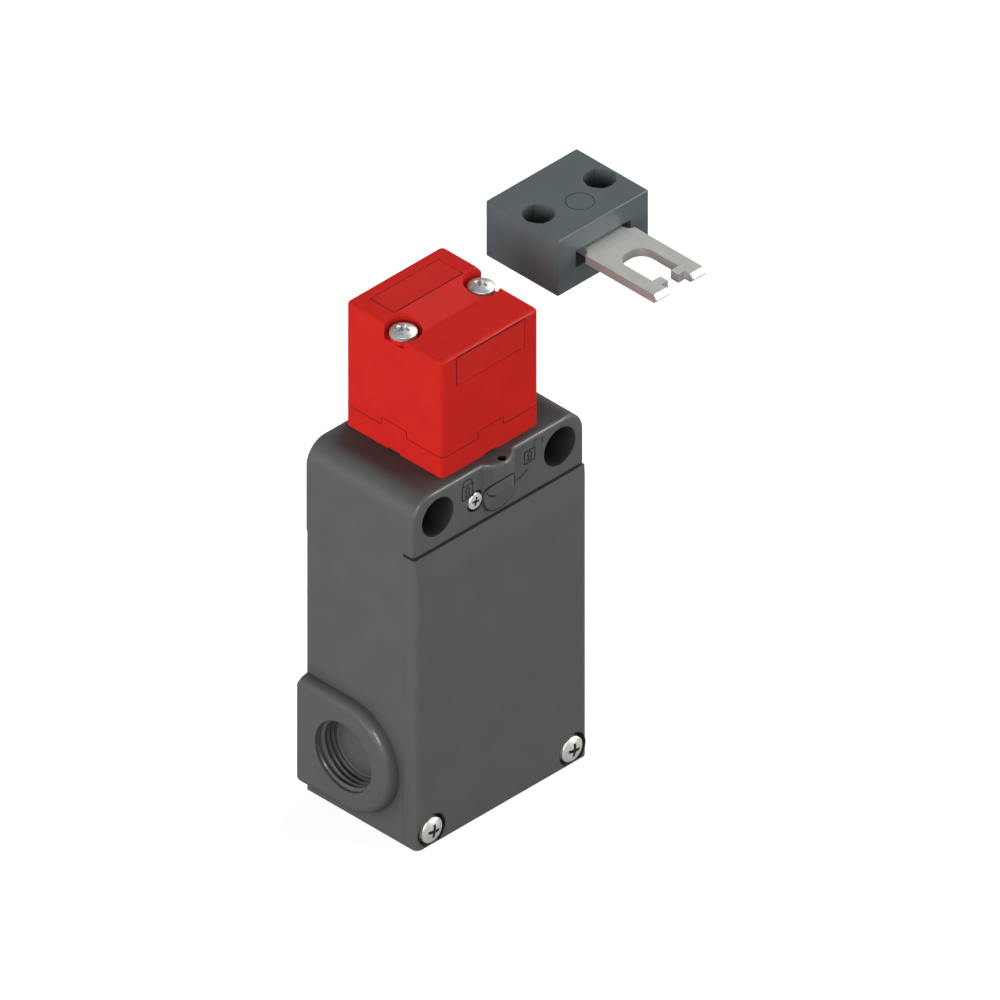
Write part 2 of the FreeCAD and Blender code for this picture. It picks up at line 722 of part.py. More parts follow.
def screw_clearance(side, name):
    """The way of a long head screw through the collar and the shell."""
    return rod(name, "z", (f"{side} * head_screw_pitch/2", head_y), "head_screw_shank + 2*running_fit",
               ("housing_height - 1", "head_front_top"))


def crenel_tabs(name, play):
    """The raised middle of each side of the collar, or with play the notch for it in the shell."""
    height = (f"{seam} - 1", f"{seam} + tab_height + {play}")
    wide_x = about("0", f"tab_width + 2*{play}")
    wide_y = about(head_y, f"tab_width + 2*{play}")
    deep = f"tab_depth + {play}"
    out = "0" if play == "0" else "1"
    return [
        box(f"{name}_front", wide_x, (f"{head_front} - {out}", f"{head_front} + {deep}"), height),
        box(f"{name}_back", wide_x, (f"{head_back} - ({deep})", f"{head_back} + {out}"), height),
        box(f"{name}_left", (f"-head_width/2 - {out}", f"-head_width/2 + {deep}"), wide_y, height),
        box(f"{name}_right", (f"head_width/2 - ({deep})", f"head_width/2 + {out}"), wide_y, height)]


# hinge lines of the two shutters, as Y and Z
front_pin = (f"({head_front} + shutter_thickness - shutter_pin_inset)",
             "(front_entry_level + entry_height/2 - entry_play - shutter_knuckle)")
top_pin = ("(top_entry_offset + entry_height/2 - entry_play - shutter_knuckle)",
           "(head_rear_top - shutter_thickness + shutter_pin_inset)")


def make_shutters():
    """Sprung flaps that close both key entries, each on its own pin."""
    width = about("0", "entry_width - 2*entry_play")
    plates = {
        "front": box("front_plate", width, (head_front, f"{head_front} + shutter_thickness"),
                     ("front_entry_level - entry_height/2 + entry_play", front_pin[1])),
        "top": box("top_plate", width, ("top_entry_offset - entry_height/2 + entry_play", top_pin[0]),
                   ("head_rear_top - shutter_thickness", "head_rear_top"))}
    corners = {
        "front": box("front_plate_corner", width, (head_front, front_pin[0]),
                     (front_pin[1], f"{front_pin[1]} + shutter_knuckle")),
        "top": box("top_plate_corner", width, (top_pin[0], f"{top_pin[0]} + shutter_knuckle"),
                   (top_pin[1], "head_rear_top"))}
    for name, pin in (("front", front_pin), ("top", top_pin)):
        knuckle = rod(f"{name}_knuckle", "x", pin, "shutter_knuckle", width)
        bore = rod(f"{name}_knuckle_bore", "x", pin, "shutter_pin + running_fit",
                   about("0", "entry_width + 2"))
        gap = rod(f"{name}_spring_gap", "x", pin, "shutter_knuckle + coil_play",
                  about("0", "shutter_spring_length + 2*entry_play"))
        leaf = fuse(f"{name}_leaf", plates[name], corners[name], knuckle)
        piece(f"{name}_shutter", cut(f"{name}_shutter_made", leaf, bore, gap))
        piece(f"{name}_shutter_pin", rod(f"{name}_pin_made", "x", pin, "shutter_pin",
                                         about("0", "entry_width + 2*shutter_pin_bite - shutter_pin_play")))
        coil = rod(f"{name}_coil", "x", pin, "shutter_pin + spring_wire - coil_play",
                   about("0", "shutter_spring_length"))
        eye = rod(f"{name}_coil_eye", "x", pin, "shutter_pin + running_fit",
                  about("0", "shutter_spring_length + 2"))
        piece(f"{name}_shutter_spring", cut(f"{name}_spring_made", coil, eye))


def spring(name, axis, centre, radius, wire, span):
    """A compression spring as a sleeve as thick as its wire, between two places on an axis."""
    outside = rod(f"{name}_outside", axis, centre, f"{radius} + {wire}", span)
    inside = rod(f"{name}_inside", axis, centre, f"{radius} - {wire}", (f"{span[0]} - 1", f"{span[1]} + 1"))
    return cut(name, outside, inside)


def make_cam():
    """The control cam with its two T-shaped noses, one for each key entry, and its axle."""
    disc = rod("cam_disc", "x", (head_y, "cam_height"), "cam_radius", about("0", "cam_width"))
    bore = rod("cam_bore", "x", (head_y, "cam_height"), "axle_radius + running_fit",
               about("0", "cam_width + 2"))
    track = box("cam_track", about("0", "2*rod_tip + 2*cam_track_play"), about(head_y, "2*cam_radius + 2"),
                ("cam_height - cam_radius - 1", "cam_height - cam_flat"))
    noses = []
    for name, angle in (("front", "cam_nose_angle"), ("top", "cam_nose_angle - 90")):
        neck = box(f"{name}_nose_neck", about("0", "cam_nose_neck"), about(head_y, "cam_nose_thickness"),
                   (f"cam_height + cam_radius * {NOSE_ROOT}", "cam_height + cam_nose_reach"))
        bar = box(f"{name}_nose_bar", about("0", "cam_nose_head"), about(head_y, "cam_nose_thickness"),
                  ("cam_height + cam_nose_reach - cam_nose_thickness", "cam_height + cam_nose_reach"))
        noses.append(turned(f"{name}_nose", fuse(f"{name}_nose_upright", neck, bar), (head_y, "cam_height"),
                            angle))
    piece("control_cam", cut("cam_made", fuse("cam_blank", disc, *noses), bore, track))
    piece("cam_axle", rod("axle_made", "x", (head_y, "cam_height"), "axle_radius",
                          about("0", "head_cavity_width + 2*axle_bite")))


# levels of the push rod and of the contacts that it carries
rod_top = "(cam_height - cam_flat - rod_gap)"
rod_shoulder = "(housing_height - spigot_length - slack)"
blade_low = "(solenoid_height - blade_thickness/2)"
neck_low = "(solenoid_height - rod_neck_height/2)"
block_base = "(block_top - block_height)"
chamber_base = f"({block_base} + chamber_wall)"
chamber_top = "(block_top - chamber_wall)"
carrier_top = f"({chamber_top} - slack)"
bridge_levels = {"upper": f"({carrier_top} - upper_bridge_drop)",
                 "lower": f"({carrier_top} - lower_bridge_drop)"}
carrier_base = f"({bridge_levels['lower']} - carrier_foot)"
block_front = f"({inner_rear} - block_depth)"
chamber_back = f"({head_y} + chamber_rear)"
terminal_x = "(chamber_width/2 + terminal_inset)"


def make_push_rod():
    """The push rod under the cam, the contact carrier at its foot and the two bridge contacts."""
    tip = rod("rod_tip_part", "z", ("0", head_y), "rod_tip", (f"{rod_shoulder} - 1", rod_top))
    shank = rod("rod_shank", "z", ("0", head_y), "rod_radius", (carrier_top, rod_shoulder))
    grooves = []
    for number in range(2):
        low = f"{neck_low} + {number} * rod_travel"
        level = (low, f"{low} + rod_neck_height")
        outside = rod(f"groove_outside_{number}", "z", ("0", head_y), "rod_radius + 1", level)
        inside = rod(f"groove_inside_{number}", "z", ("0", head_y), "rod_neck", level)
        grooves.append(cut(f"groove_{number}", outside, inside))
    piece("push_rod", cut("rod_made", fuse("rod_blank", tip, shank), *grooves))
    body = box("carrier_body", about("0", "carrier_width"), about(head_y, "carrier_depth"),
               (carrier_base, carrier_top))
    slots = []
    for name, level in bridge_levels.items():
        span = (about("0", "bridge_length"), about(head_y, "bridge_width"),
                about(level, "bridge_thickness"))
        slots.append(box(f"{name}_bridge_slot", *span))
        piece(f"bridge_contact_{name}", box(f"{name}_bridge", *span))
    piece("contact_carrier", cut("carrier_made", body, *slots))
    piece("rod_return_spring", spring("rod_spring", "z", ("0", head_y), "rod_spring_radius", "spring_wire",
                                      (chamber_base, carrier_base)))


def make_contact_block():
    """The contact block with its chamber, four clamps and their screws."""
    body = box("block_body", about("0", "block_width"), (block_front, inner_rear),
               (block_base, "block_top"))
    spaces = [
        box("block_chamber", about("0", "chamber_width"), (f"{block_front} - 1", chamber_back),
            (chamber_base, chamber_top)),
        rod("block_rod_hole", "z", ("0", head_y), "rod_radius + slack",
            (f"{chamber_top} - 1", "block_top + 1"))]
    screws = []
    for side in (-1, 1):
        for name, level in bridge_levels.items():
            where = f"{name}_{'left' if side < 0 else 'right'}"
            lead = f"({level} - bridge_thickness - rod_travel - contact_gap)"
            clamp_x = mirrored_span(side, terminal_x, f"{terminal_x} + terminal_size")
            clamp = box(f"clamp_{where}", clamp_x, (f"{chamber_back} - terminal_size", chamber_back),
                        about(lead, "terminal_size"))
            strip = box(f"strip_{where}",
                        mirrored_span(side, "carrier_width/2 + lead_reach", f"{terminal_x} + 1"),
                        about(head_y, "bridge_width"), about(lead, "bridge_thickness"))
            centre = (f"{side} * ({terminal_x} + terminal_size/2)", lead)
            shank = f"({chamber_back} - terminal_size)"
            tapped = rod(f"clamp_thread_{where}", "y", centre, "terminal_screw_shank + thread_play",
                         (f"{shank} - 1", f"{shank} + terminal_size * {HOLE_SHARE}"))
            piece(f"terminal_{where}",
                  cut(f"terminal_{where}_made", fuse(f"lead_{where}", clamp, strip), tapped))
            spaces.append(box(f"clamp_room_{where}",
                              mirrored_span(side, f"{terminal_x} - block_play",
                                            f"{terminal_x} + terminal_size + block_play"),
                              (f"{block_front} - 1", chamber_back),
                              about(lead, "terminal_size + 2*block_play")))
            spaces.append(box(f"strip_room_{where}", mirrored_span(side, "chamber_width/2 - 1", terminal_x),
                              about(head_y, "bridge_width + 2*block_play"),
                              about(lead, "bridge_thickness + 2*block_play")))
            screws.append(screw(f"terminal_screw_{where}", "y", centre, f"{shank} - terminal_screw_height",
                                1, "terminal_screw_head", "terminal_screw_height", "terminal_screw_shank",
                                f"terminal_size * {SCREW_SHARE}"))
    piece("contact_block", cut("contact_block_made", body, *spaces))
    group = doc.addObject("Part::Compound", "terminal_screw_group")
    group.Links = screws
    piece("terminal_screws", group)


def make_solenoid():
    """The locking solenoid: yoke, bobbin, winding, armature with its fork-shaped blade, and spring."""
    left = "(-(housing_width/2 - housing_wall) + yoke_end_play)"
    tip = "(-(rod_radius + blade_gap))"
    fork = f"({tip} - fork_depth)"
    heel = f"({fork} - blade_heel)"
    right = f"({heel} + yoke_lead)"
    centre = (head_y, "solenoid_height")
    level = about("solenoid_height", "solenoid_span")
    arms_y = (f"{head_y} - solenoid_span/2", inner_rear)
    back = box("yoke_back", (left, right), (f"{inner_rear} - yoke_thickness", inner_rear), level)
    ends = [box("yoke_left", (left, f"{left} + yoke_thickness"), arms_y, level),
            box("yoke_right", (f"{right} - yoke_thickness", right), arms_y, level)]
    way = rod("yoke_way", "x", centre, "armature_radius + 2*running_fit",
              (f"{right} - yoke_thickness - 1", f"{right} + 1"))
    piece("solenoid_yoke", cut("yoke_made", fuse("yoke_blank", back, *ends), way))
    inner_left, inner_right = f"({left} + yoke_thickness)", f"({right} - yoke_thickness)"
    tube = rod("bobbin_core", "x", centre, "bobbin_tube", (inner_left, inner_right))
    flanges = [rod("flange_left", "x", centre, "winding_radius + 2*slack",
                   (inner_left, f"{inner_left} + bobbin_flange")),
               rod("flange_right", "x", centre, "winding_radius + 2*slack",
                   (f"{inner_right} - bobbin_flange", inner_right))]
    bore = rod("bobbin_bore", "x", centre, "armature_radius + running_fit",
               (f"{inner_left} - 1", f"{inner_right} + 1"))
    piece("solenoid_bobbin", cut("bobbin_made", fuse("bobbin_blank", tube, *flanges), bore))
    turns = (f"{inner_left} + bobbin_flange", f"{inner_right} - bobbin_flange")
    winding = rod("winding_outer", "x", centre, "winding_radius", turns)
    eye = rod("winding_eye", "x", centre, "bobbin_tube", (f"{left}", f"{right}"))
    piece("solenoid_winding", cut("winding_made", winding, eye))

    armature_back = f"({inner_left} + armature_spring_room)"
    piece("solenoid_armature", rod("armature_made", "x", centre, "armature_radius", (armature_back, heel)))
    thick = (blade_low, f"{blade_low} + blade_thickness")
    arm_right = "(-(release_cam_radius + contact_gap))"
    arm_y = (f"{cam_front} + slack", cam_back)
    sheet_part = box("blade_sheet", (heel, tip), about(head_y, "blade_width"), thick)
    wing = box("blade_wing", (f"{right} + slack", arm_right), (arm_y[0], f"{head_y} - blade_width/2 + 1"),
               thick)
    arm = box("blade_arm", (f"{arm_right} - arm_thickness", arm_right), arm_y,
              (blade_low, "dial_height - release_cam_radius - contact_gap"))
    slot = box("blade_slot", (fork, f"{tip} + 1"), about(head_y, "2*rod_neck + 2*block_play"),
               (f"{blade_low} - 1", f"{blade_low} + blade_thickness + 1"))
    piece("lock_blade", cut("blade_made", fuse("blade_blank", sheet_part, wing, arm), slot))
    piece("armature_spring", spring("armature_sleeve", "x", centre, "armature_spring_radius", "spring_wire",
                                    (inner_left, armature_back)))

    supply_x = ("block_width/2 + 1 - supply_width", "block_width/2 + 1")
    supply_z = about("solenoid_height", "supply_height")
    supply_y = (f"{inner_rear} - supply_depth", inner_rear)
    body = box("supply_body", supply_x, supply_y, supply_z)
    rooms, screws = [], []
    for number in (-1, 1):
        centre = ("block_width/2 - supply_screw_inset", f"solenoid_height + {number} * supply_pitch/2")
        rooms.append(rod(f"supply_well_{number}", "y", centre, "terminal_screw_head + slack",
                         (f"{supply_y[0]} - 1", f"{supply_y[0]} + supply_well")))
        rooms.append(rod(f"supply_thread_{number}", "y", centre, "terminal_screw_shank + thread_play",
                         (f"{supply_y[0]} + 1", f"{supply_y[0]} + supply_well + 1 + supply_screw_length")))
        screws.append(screw(f"supply_screw_{number}", "y", centre,
                            f"{supply_y[0]} + supply_well - supply_screw_height", 1,
                            "terminal_screw_head", "supply_screw_height", "terminal_screw_shank",
                            "supply_screw_length"))
    piece("solenoid_terminal_block", cut("supply_made", body, *rooms))
    group = doc.addObject("Part::Compound", "supply_screw_group")
    group.Links = screws
    piece("solenoid_terminal_screws", group)


cam_front = f"({well_front} + release_cam_setback)"
cam_back = f"({cam_front} + release_cam_width)"


def make_dial():
    """The release dial, whose upper half carries on the bulge, with its shaft, cam, seal and screw."""
    centre = ("0", "dial_height")
    foot = rod("dial_foot", "y", centre, "dial_radius", (upper_front, f"{dial_back} - running_fit"))
    proud = rod("dial_proud", "y", centre, "dial_radius",
                (f"{upper_front} - bulge_reach - 1", f"{upper_front} + 1"))
    column = rod("dial_column", "z", ("0", f"{upper_front} - bulge_reach + bulge_radius"), "bulge_radius",
                 ("dial_height - dial_radius - 1", "dial_height + dial_radius + 1"))
    raised = doc.addObject("Part::Common", "dial_raised")
    raised.Base, raised.Tool = proud, column
    slope = outline("dial_slope_profile", "yz", (
        (upper_front, "dial_height - dial_radius * dial_slope_foot"),
        (f"{upper_front} - bulge_reach", "dial_height + dial_radius * dial_slope_top"),
        (f"{upper_front} - bulge_reach - 2", "dial_height + dial_radius * dial_slope_top"),
        (f"{upper_front} - bulge_reach - 2", "dial_height - dial_radius - 1"),
        (upper_front, "dial_height - dial_radius - 1")))
    lean = extrude("dial_slope", slope, (1, 0, 0), "dial_radius * 3", symmetric=True)
    shaft = rod("dial_shaft_part", "y", centre, "dial_shaft", (f"{dial_back} - 1", cam_front))
    blank = fuse("dial_blank", foot, cut("dial_crown", raised, lean), shaft)
    seal_span = about(f"{upper_front} + dial_depth * {SEAL_SHARE}", "seal_width")
    groove_outside = rod("seal_groove_outside", "y", centre, "dial_radius + 1", seal_span)
    groove_inside = rod("seal_groove_inside", "y", centre, "dial_radius - seal_width", seal_span)
    wire = rod("dial_wire_hole", "z", ("0", f"{front} + wire_hole_depth"), "wire_hole",
               (f"dial_height + dial_radius * {LEVER_ROOT}", "dial_height + dial_radius + 1"))
    piece("release_dial", cut("dial_made", blank, cut("seal_groove", groove_outside, groove_inside), wire))
    seal_outside = rod("seal_outside", "y", centre, "dial_radius", seal_span)
    seal_eye = rod("seal_eye", "y", centre, "dial_radius - seal_width", seal_span)
    piece("dial_seal", cut("seal_made", seal_outside, seal_eye))
    whole = rod("release_cam_round", "y", centre, "release_cam_radius", (cam_front, cam_back))
    flat = box("release_cam_flat_part", ("-release_cam_radius - 1", "-release_cam_flat"),
               (f"{cam_front} - 1", f"{cam_back} + 1"),
               ("dial_height - release_cam_radius - 1", "dial_height + release_cam_radius + 1"))
    piece("release_cam", cut("release_cam_made", whole, flat))
    piece("dial_lock_screw", pan_screw(
        "lock_screw", "y", ("-lock_screw_offset", "dial_height + lock_screw_rise"), upper_front, 1,
        "lock_screw_head", "lock_screw_head_height", "lock_screw_shank", "lock_screw_length"))


def make_earth_terminal():
    """The earth clamp at the foot of the rear wall."""
    middle = "(housing_wall + earth_width/2 + 1)"
    plate = box("earth_plate", about("0", "earth_width"), (f"{inner_rear} - earth_thickness", inner_rear),
                about(middle, "earth_width"))
    hole = rod("earth_hole", "y", ("0", middle), "terminal_screw_shank + running_fit",
               (f"{inner_rear} - 2", f"{inner_rear} + 1"))
    piece("earth_terminal", cut("earth_made", plate, hole))
    piece("earth_screw", screw("earth_screw_made", "y", ("0", middle),
                               f"{inner_rear} - earth_thickness - terminal_screw_height", 1,
                               "terminal_screw_head", "terminal_screw_height", "terminal_screw_shank",
                               "earth_screw_length"))


def make_actuator():
    """The loose actuator: block, fork-ended tongue on its pivot, washers, centring springs and base plate."""
    face = "(actuator_rear - actuator_depth)"
    base = "(actuator_top - actuator_height)"
    slot_top = "(actuator_top - slot_drop)"
    slot_base = f"({slot_top} - slot_height)"
    tongue_top = "(actuator_top - tongue_drop)"
    tongue_base = f"({tongue_top} - tongue_thickness)"
    pivot = ("actuator_offset", f"{face} + tongue_pivot_inset")
    blank = box("actuator_blank", about("actuator_offset", "actuator_width"), (face, "actuator_rear"),
                (base, "actuator_top"))
    doc.recompute()
    foot = measure(base)
    eased = rounded("actuator_eased", blank, "actuator_edge", lambda edge: not lies_at(edge, "Z", foot))
    spaces = [
        box("actuator_slot", about("actuator_offset", "slot_width"),
            (f"{face} - 1", f"{face} + slot_depth"),
            (slot_base, slot_top)),
        rod("pivot_seat", "z", pivot, "tongue_pivot", (f"{base} - 1", f"{slot_top} + pivot_bite")),
        box("plate_seat", about("actuator_offset", "actuator_width - 2*plate_inset"),
            (f"{face} + plate_inset", "actuator_rear - plate_inset"),
            (f"{base} - 1", f"{base} + plate_thickness"))]
    plate_holes = []
    for side in (-1, 1):
        hole = (f"actuator_offset + {side} * actuator_hole_pitch/2", f"{face} + actuator_hole_inset")
        spaces.append(rod(f"actuator_way_{side}", "z", hole, "actuator_hole",
                          (f"{base} - 1", "actuator_top + 1")))
        plate_holes.append(rod(f"plate_way_{side}", "z", hole, "actuator_hole + slack",
                               (f"{base} - 1", f"{base} + 3")))
        pocket = ("actuator_top - actuator_counterbore_depth", "actuator_top + 1")
        spaces.append(rod(f"actuator_mouth_{side}", "z", hole, "actuator_counterbore", pocket))
        nut = doc.addObject("Part::Prism", f"actuator_hexagon_{side}")
        nut.Polygon = 6
        nut.setExpression("Circumradius", bound("actuator_hexagon"))
        nut.setExpression("Height", bound(f"{pocket[1]} - ({pocket[0]})"))
        put(nut, hole[0], hole[1], pocket[0])
        spaces.append(nut)
    plate_holes.append(rod("plate_pivot_way", "z", pivot, "tongue_pivot + slack",
                           (f"{base} - 1", f"{base} + 3")))
    piece("actuator_block", cut("actuator_block_made", eased, *spaces))
    cover = box("plate_blank", about("actuator_offset", "actuator_width - 2*plate_inset - 2*block_play"),
                (f"{face} + plate_inset + block_play", "actuator_rear - plate_inset - block_play"),
                (base, f"{base} + plate_thickness"))
    piece("actuator_base_plate", cut("plate_made", cover, *plate_holes))
    piece("tongue_pivot_pin", rod("pivot_made", "z", pivot, "tongue_pivot",
                                  (f"{base} + plate_thickness", f"{slot_top} + pivot_bite")))
    washers = []
    for number, level in enumerate(((slot_base, f"{tongue_base} - running_fit"),
                                    (f"{tongue_top} + running_fit", slot_top))):
        disc = rod(f"washer_disc_{number}", "z", pivot, "tongue_pivot + washer_width", level)
        eye = rod(f"washer_eye_{number}", "z", pivot, "tongue_pivot",
                  (f"{slot_base} - 1", f"{slot_top} + 1"))
        washers.append(cut(f"washer_{number}", disc, eye))
    pair = doc.addObject("Part::Compound", "washer_pair")
    pair.Links = washers
    piece("tongue_washers", pair)
    make_tongue(face, tongue_base, tongue_top, pivot)
    springs = []
    # the sleeves sit ahead of the fixing holes, clear of the screws
    spring_y = (f"{face} + actuator_hole_inset - actuator_hole - running_fit"
                " - centring_spring_radius - centring_wire")
    for side in (-1, 1):
        ends = ("tongue_neck/2 + running_fit", "slot_width/2 - running_fit")
        places = [f"actuator_offset + {end}" for end in mirrored_span(side, *ends)]
        springs.append(spring(f"centring_sleeve_{side}", "x", (spring_y, f"({slot_top} + {slot_base})/2"),
                              "centring_spring_radius", "centring_wire", places))
    couple = doc.addObject("Part::Compound", "centring_pair")
    couple.Links = springs
    piece("tongue_centring_springs", couple)


def make_tongue(face, low, high, pivot):
    """The steel tongue: neck, round-backed window, two inward hooks, stepped mouth and bevelled tips."""
    tip = f"({face} - tongue_reach)"
    level = (low, high)
    tall = (f"{low} - 1", f"{high} + 1")
    plate = box("tongue_plate", about("actuator_offset", "tongue_width"), (tip, face), level)
    neck = box("tongue_neck_part", about("actuator_offset", "tongue_neck"),
               (f"{face} - 1", f"{face} + tongue_tail"), level)
    window_back = f"{face} - window_start"
    hook_back = f"{face} - hook_start"
    window = box("tongue_window", about("actuator_offset", "window_width"), (hook_back, window_back), tall)
    doc.recompute()
    back = measure(window_back)
    arch = rounded("tongue_arch", window, "window_round",
                   lambda edge: is_upright(edge) and lies_at(edge, "Y", back))
    tools = [
        arch,
        box("tongue_gap", about("actuator_offset", "hook_gap"), (f"{tip} - 1", f"{hook_back} + 1"), tall),
        box("tongue_mouth", about("actuator_offset", "mouth_width"),
            (f"{tip} - 1", f"{hook_back} - hook_length"), tall),
        rod("tongue_pivot_hole", "z", pivot, "tongue_pivot + running_fit", tall)]
    for side in (-1, 1):
        tools.append(rod(f"shoulder_notch_{side}", "z",
                         (f"actuator_offset + {side} * (tongue_neck/2 + tongue_shoulder)", face),
                         "tongue_shoulder", tall))
    shaped = cut("tongue_shaped", fuse("tongue_blank", plate, neck), *tools)
    doc.recompute()
    end = measure(tip)
    bevel = measure("tip_bevel")
    bevelled = doc.addObject("Part::Chamfer", "tongue_made")
    bevelled.Base = shaped
    bevelled.Edges = [(index, bevel, bevel) for index, edge in enumerate(shaped.Shape.Edges, 1)
                      if lies_at(edge, "Y", end) and edge.BoundBox.XLength > 1]
    piece("actuator_tongue", bevelled)


make_housing()
make_cover()
make_head()
make_shutters()
make_cam()
make_push_rod()
make_contact_block()
make_solenoid()
make_dial()
make_earth_terminal()
make_actuator()
doc.recompute()

for thing in doc.Objects:
    if "Invalid" in thing.State or "Error" in thing.State:
        raise RuntimeError(f"{thing.Name} failed to build")
os.makedirs("parts", exist_ok=True)
for label, solid in pieces.items():
    solid.Label = label
    if solid.Shape.isNull() or not solid.Shape.isValid() or not solid.Shape.Solids:
        raise RuntimeError(f"{label} has no sound shape")
for label, solid in pieces.items():
    solid.Shape.exportStep(f"parts/{label}.step")
    box_size = solid.Shape.BoundBox
    print(f"{label:26s} {len(solid.Shape.Solids)} solids {solid.Shape.Volume:10.1f} mm3"
          f"  {box_size.XLength:.1f} x {box_size.YLength:.1f} x {box_size.ZLength:.1f}")
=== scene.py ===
import json
import math
import bpy
import bmesh
from mathutils import Matrix, Vector


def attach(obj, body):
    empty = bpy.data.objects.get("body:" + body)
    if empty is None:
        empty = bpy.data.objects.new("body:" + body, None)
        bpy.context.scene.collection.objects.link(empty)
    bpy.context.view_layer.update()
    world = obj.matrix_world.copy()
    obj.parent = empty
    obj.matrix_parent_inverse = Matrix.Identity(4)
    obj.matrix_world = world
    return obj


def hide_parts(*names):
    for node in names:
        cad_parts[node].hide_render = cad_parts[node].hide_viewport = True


# Tongue interlock switch: dark housing, red head, release dial and the loose tongue actuator.
# Places are in millimetres in the code and are turned into metres where the meshes are made.

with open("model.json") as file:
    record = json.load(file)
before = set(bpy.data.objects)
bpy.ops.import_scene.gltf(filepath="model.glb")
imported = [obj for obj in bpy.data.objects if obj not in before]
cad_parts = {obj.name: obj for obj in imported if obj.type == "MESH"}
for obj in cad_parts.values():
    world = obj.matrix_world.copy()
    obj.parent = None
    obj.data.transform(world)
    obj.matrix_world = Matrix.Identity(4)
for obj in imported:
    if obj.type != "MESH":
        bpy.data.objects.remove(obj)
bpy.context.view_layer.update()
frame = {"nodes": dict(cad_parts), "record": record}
nodes = frame["nodes"]
mm = 0.001
print("stage 1: frame loaded,", len(nodes), "nodes")


def point(x, y, z):
    return Vector((x * mm, y * mm, z * mm))


# camera: parallel view from the front left corner, 35.26 degrees above the floor

viewValues = {"scale": 231.89, "across": 12.18, "up": 63.01, "distance": 600, "clipNear": 10,
              "clipFar": 5000}
cameraAcross = Vector((1, -1, 0)).normalized()
cameraUp = Vector((1, 1, 2)).normalized()
cameraBack = Vector((-1, -1, 1)).normalized()
cameraData = bpy.data.cameras.new("photoCamera")
cameraData.type = "ORTHO"
cameraData.ortho_scale = viewValues["scale"] * mm
cameraData.clip_start = viewValues["clipNear"] * mm
cameraData.clip_end = viewValues["clipFar"] * mm
camera = bpy.data.objects.new("photoCamera", cameraData)
camera.location = (cameraAcross * viewValues["across"] + cameraUp * viewValues["up"]
                   + cameraBack * viewValues["distance"]) * mm
camera.rotation_euler = (-cameraBack).to_track_quat("-Z", "Y").to_euler()
bpy.context.scene.collection.objects.link(camera)
bpy.context.scene.camera = camera


# lamps: soft low ones round the object, a higher one from the right, and two that act on reflections only
lampValues = {
    "leftRear": {"turn": 135, "lift": 12, "strength": 0.65, "size": 40},
    "left": {"turn": 180, "lift": 12, "strength": 1.85, "size": 40},
    "corner": {"turn": 225, "lift": 12, "strength": 1.15, "size": 40},
    "frontRight": {"turn": 315, "lift": 12, "strength": 1.65, "size": 40},
    "right": {"turn": 7, "lift": 35, "strength": 2.25, "size": 40},
    "rim": {"turn": 315, "lift": 35.3, "strength": 3.0, "size": 12, "spread": False},
    "nearEye": {"turn": 225, "lift": 35.3, "strength": 5.0, "size": 22, "spread": False},
}
skyValues = {"seen": 1.0, "light": 0.09, "mirrored": 0.35}

for lampName, lamp in lampValues.items():
    turn, lift = math.radians(lamp["turn"]), math.radians(lamp["lift"])
    towards = Vector((math.cos(turn) * math.cos(lift), math.sin(turn) * math.cos(lift), math.sin(lift)))
    lampData = bpy.data.lights.new(lampName + "Lamp", "SUN")
    lampData.energy = lamp["strength"]
    lampData.angle = math.radians(lamp["size"])
    lampObject = bpy.data.objects.new(lampName + "Lamp", lampData)
    lampObject.rotation_euler = towards.to_track_quat("Z", "Y").to_euler()
    lampObject.visible_diffuse = lamp.get("spread", True)
    bpy.context.scene.collection.objects.link(lampObject)

bpy.context.scene.view_settings.view_transform = "Standard"
sky = bpy.data.worlds.new("studio")
bpy.context.scene.world = sky
sky.use_nodes = True
skyNodes = sky.node_tree.nodes
skyLinks = sky.node_tree.links
skyNodes.clear()
skyOutput = skyNodes.new("ShaderNodeOutputWorld")
skyRays = skyNodes.new("ShaderNodeLightPath")
skyMix = skyNodes.new("ShaderNodeMixShader")
skyMirror = skyNodes.new("ShaderNodeMixShader")
shades = {}
for part in ("seen", "light", "mirrored"):
    shades[part] = skyNodes.new("ShaderNodeBackground")
    shades[part].inputs["Strength"].default_value = skyValues[part]
    shades[part].inputs["Color"].default_value = (1, 1, 1, 1)
skyLinks.new(skyRays.outputs["Is Glossy Ray"], skyMirror.inputs[0])
skyLinks.new(shades["light"].outputs[0], skyMirror.inputs[1])
skyLinks.new(shades["mirrored"].outputs[0], skyMirror.inputs[2])
skyLinks.new(skyRays.outputs["Is Camera Ray"], skyMix.inputs[0])
skyLinks.new(skyMirror.outputs[0], skyMix.inputs[1])
skyLinks.new(shades["seen"].outputs[0], skyMix.inputs[2])
skyLinks.new(skyMix.outputs[0], skyOutput.inputs[0])

floorValues = {"half": 1500, "level": -0.05, "colour": 0.50, "dim": 0.30, "glow": 0.81}
floorMesh = bpy.data.meshes.new("studioFloor")
floorCorners = [point(x * floorValues["half"], y * floorValues["half"], floorValues["level"])
                for x, y in ((-1, -1), (1, -1), (1, 1), (-1, 1))]
floorMesh.from_pydata(floorCorners, [], [(0, 1, 2, 3)])
studioFloor = bpy.data.objects.new("studioFloor", floorMesh)
bpy.context.scene.collection.objects.link(studioFloor)
floorPaint = bpy.data.materials.new("studioFloor")
floorPaint.use_nodes = True
floorNodes = floorPaint.node_tree.nodes
floorLinks = floorPaint.node_tree.links
floorNodes.clear()
floorOutput = floorNodes.new("ShaderNodeOutputMaterial")
floorDiffuse = floorNodes.new("ShaderNodeBsdfDiffuse")
floorDiffuse.inputs["Color"].default_value = (floorValues["colour"],) * 3 + (1,)
floorDim = floorNodes.new("ShaderNodeBsdfDiffuse")
floorDim.inputs["Color"].default_value = (floorValues["dim"],) * 3 + (1,)
floorGlow = floorNodes.new("ShaderNodeEmission")
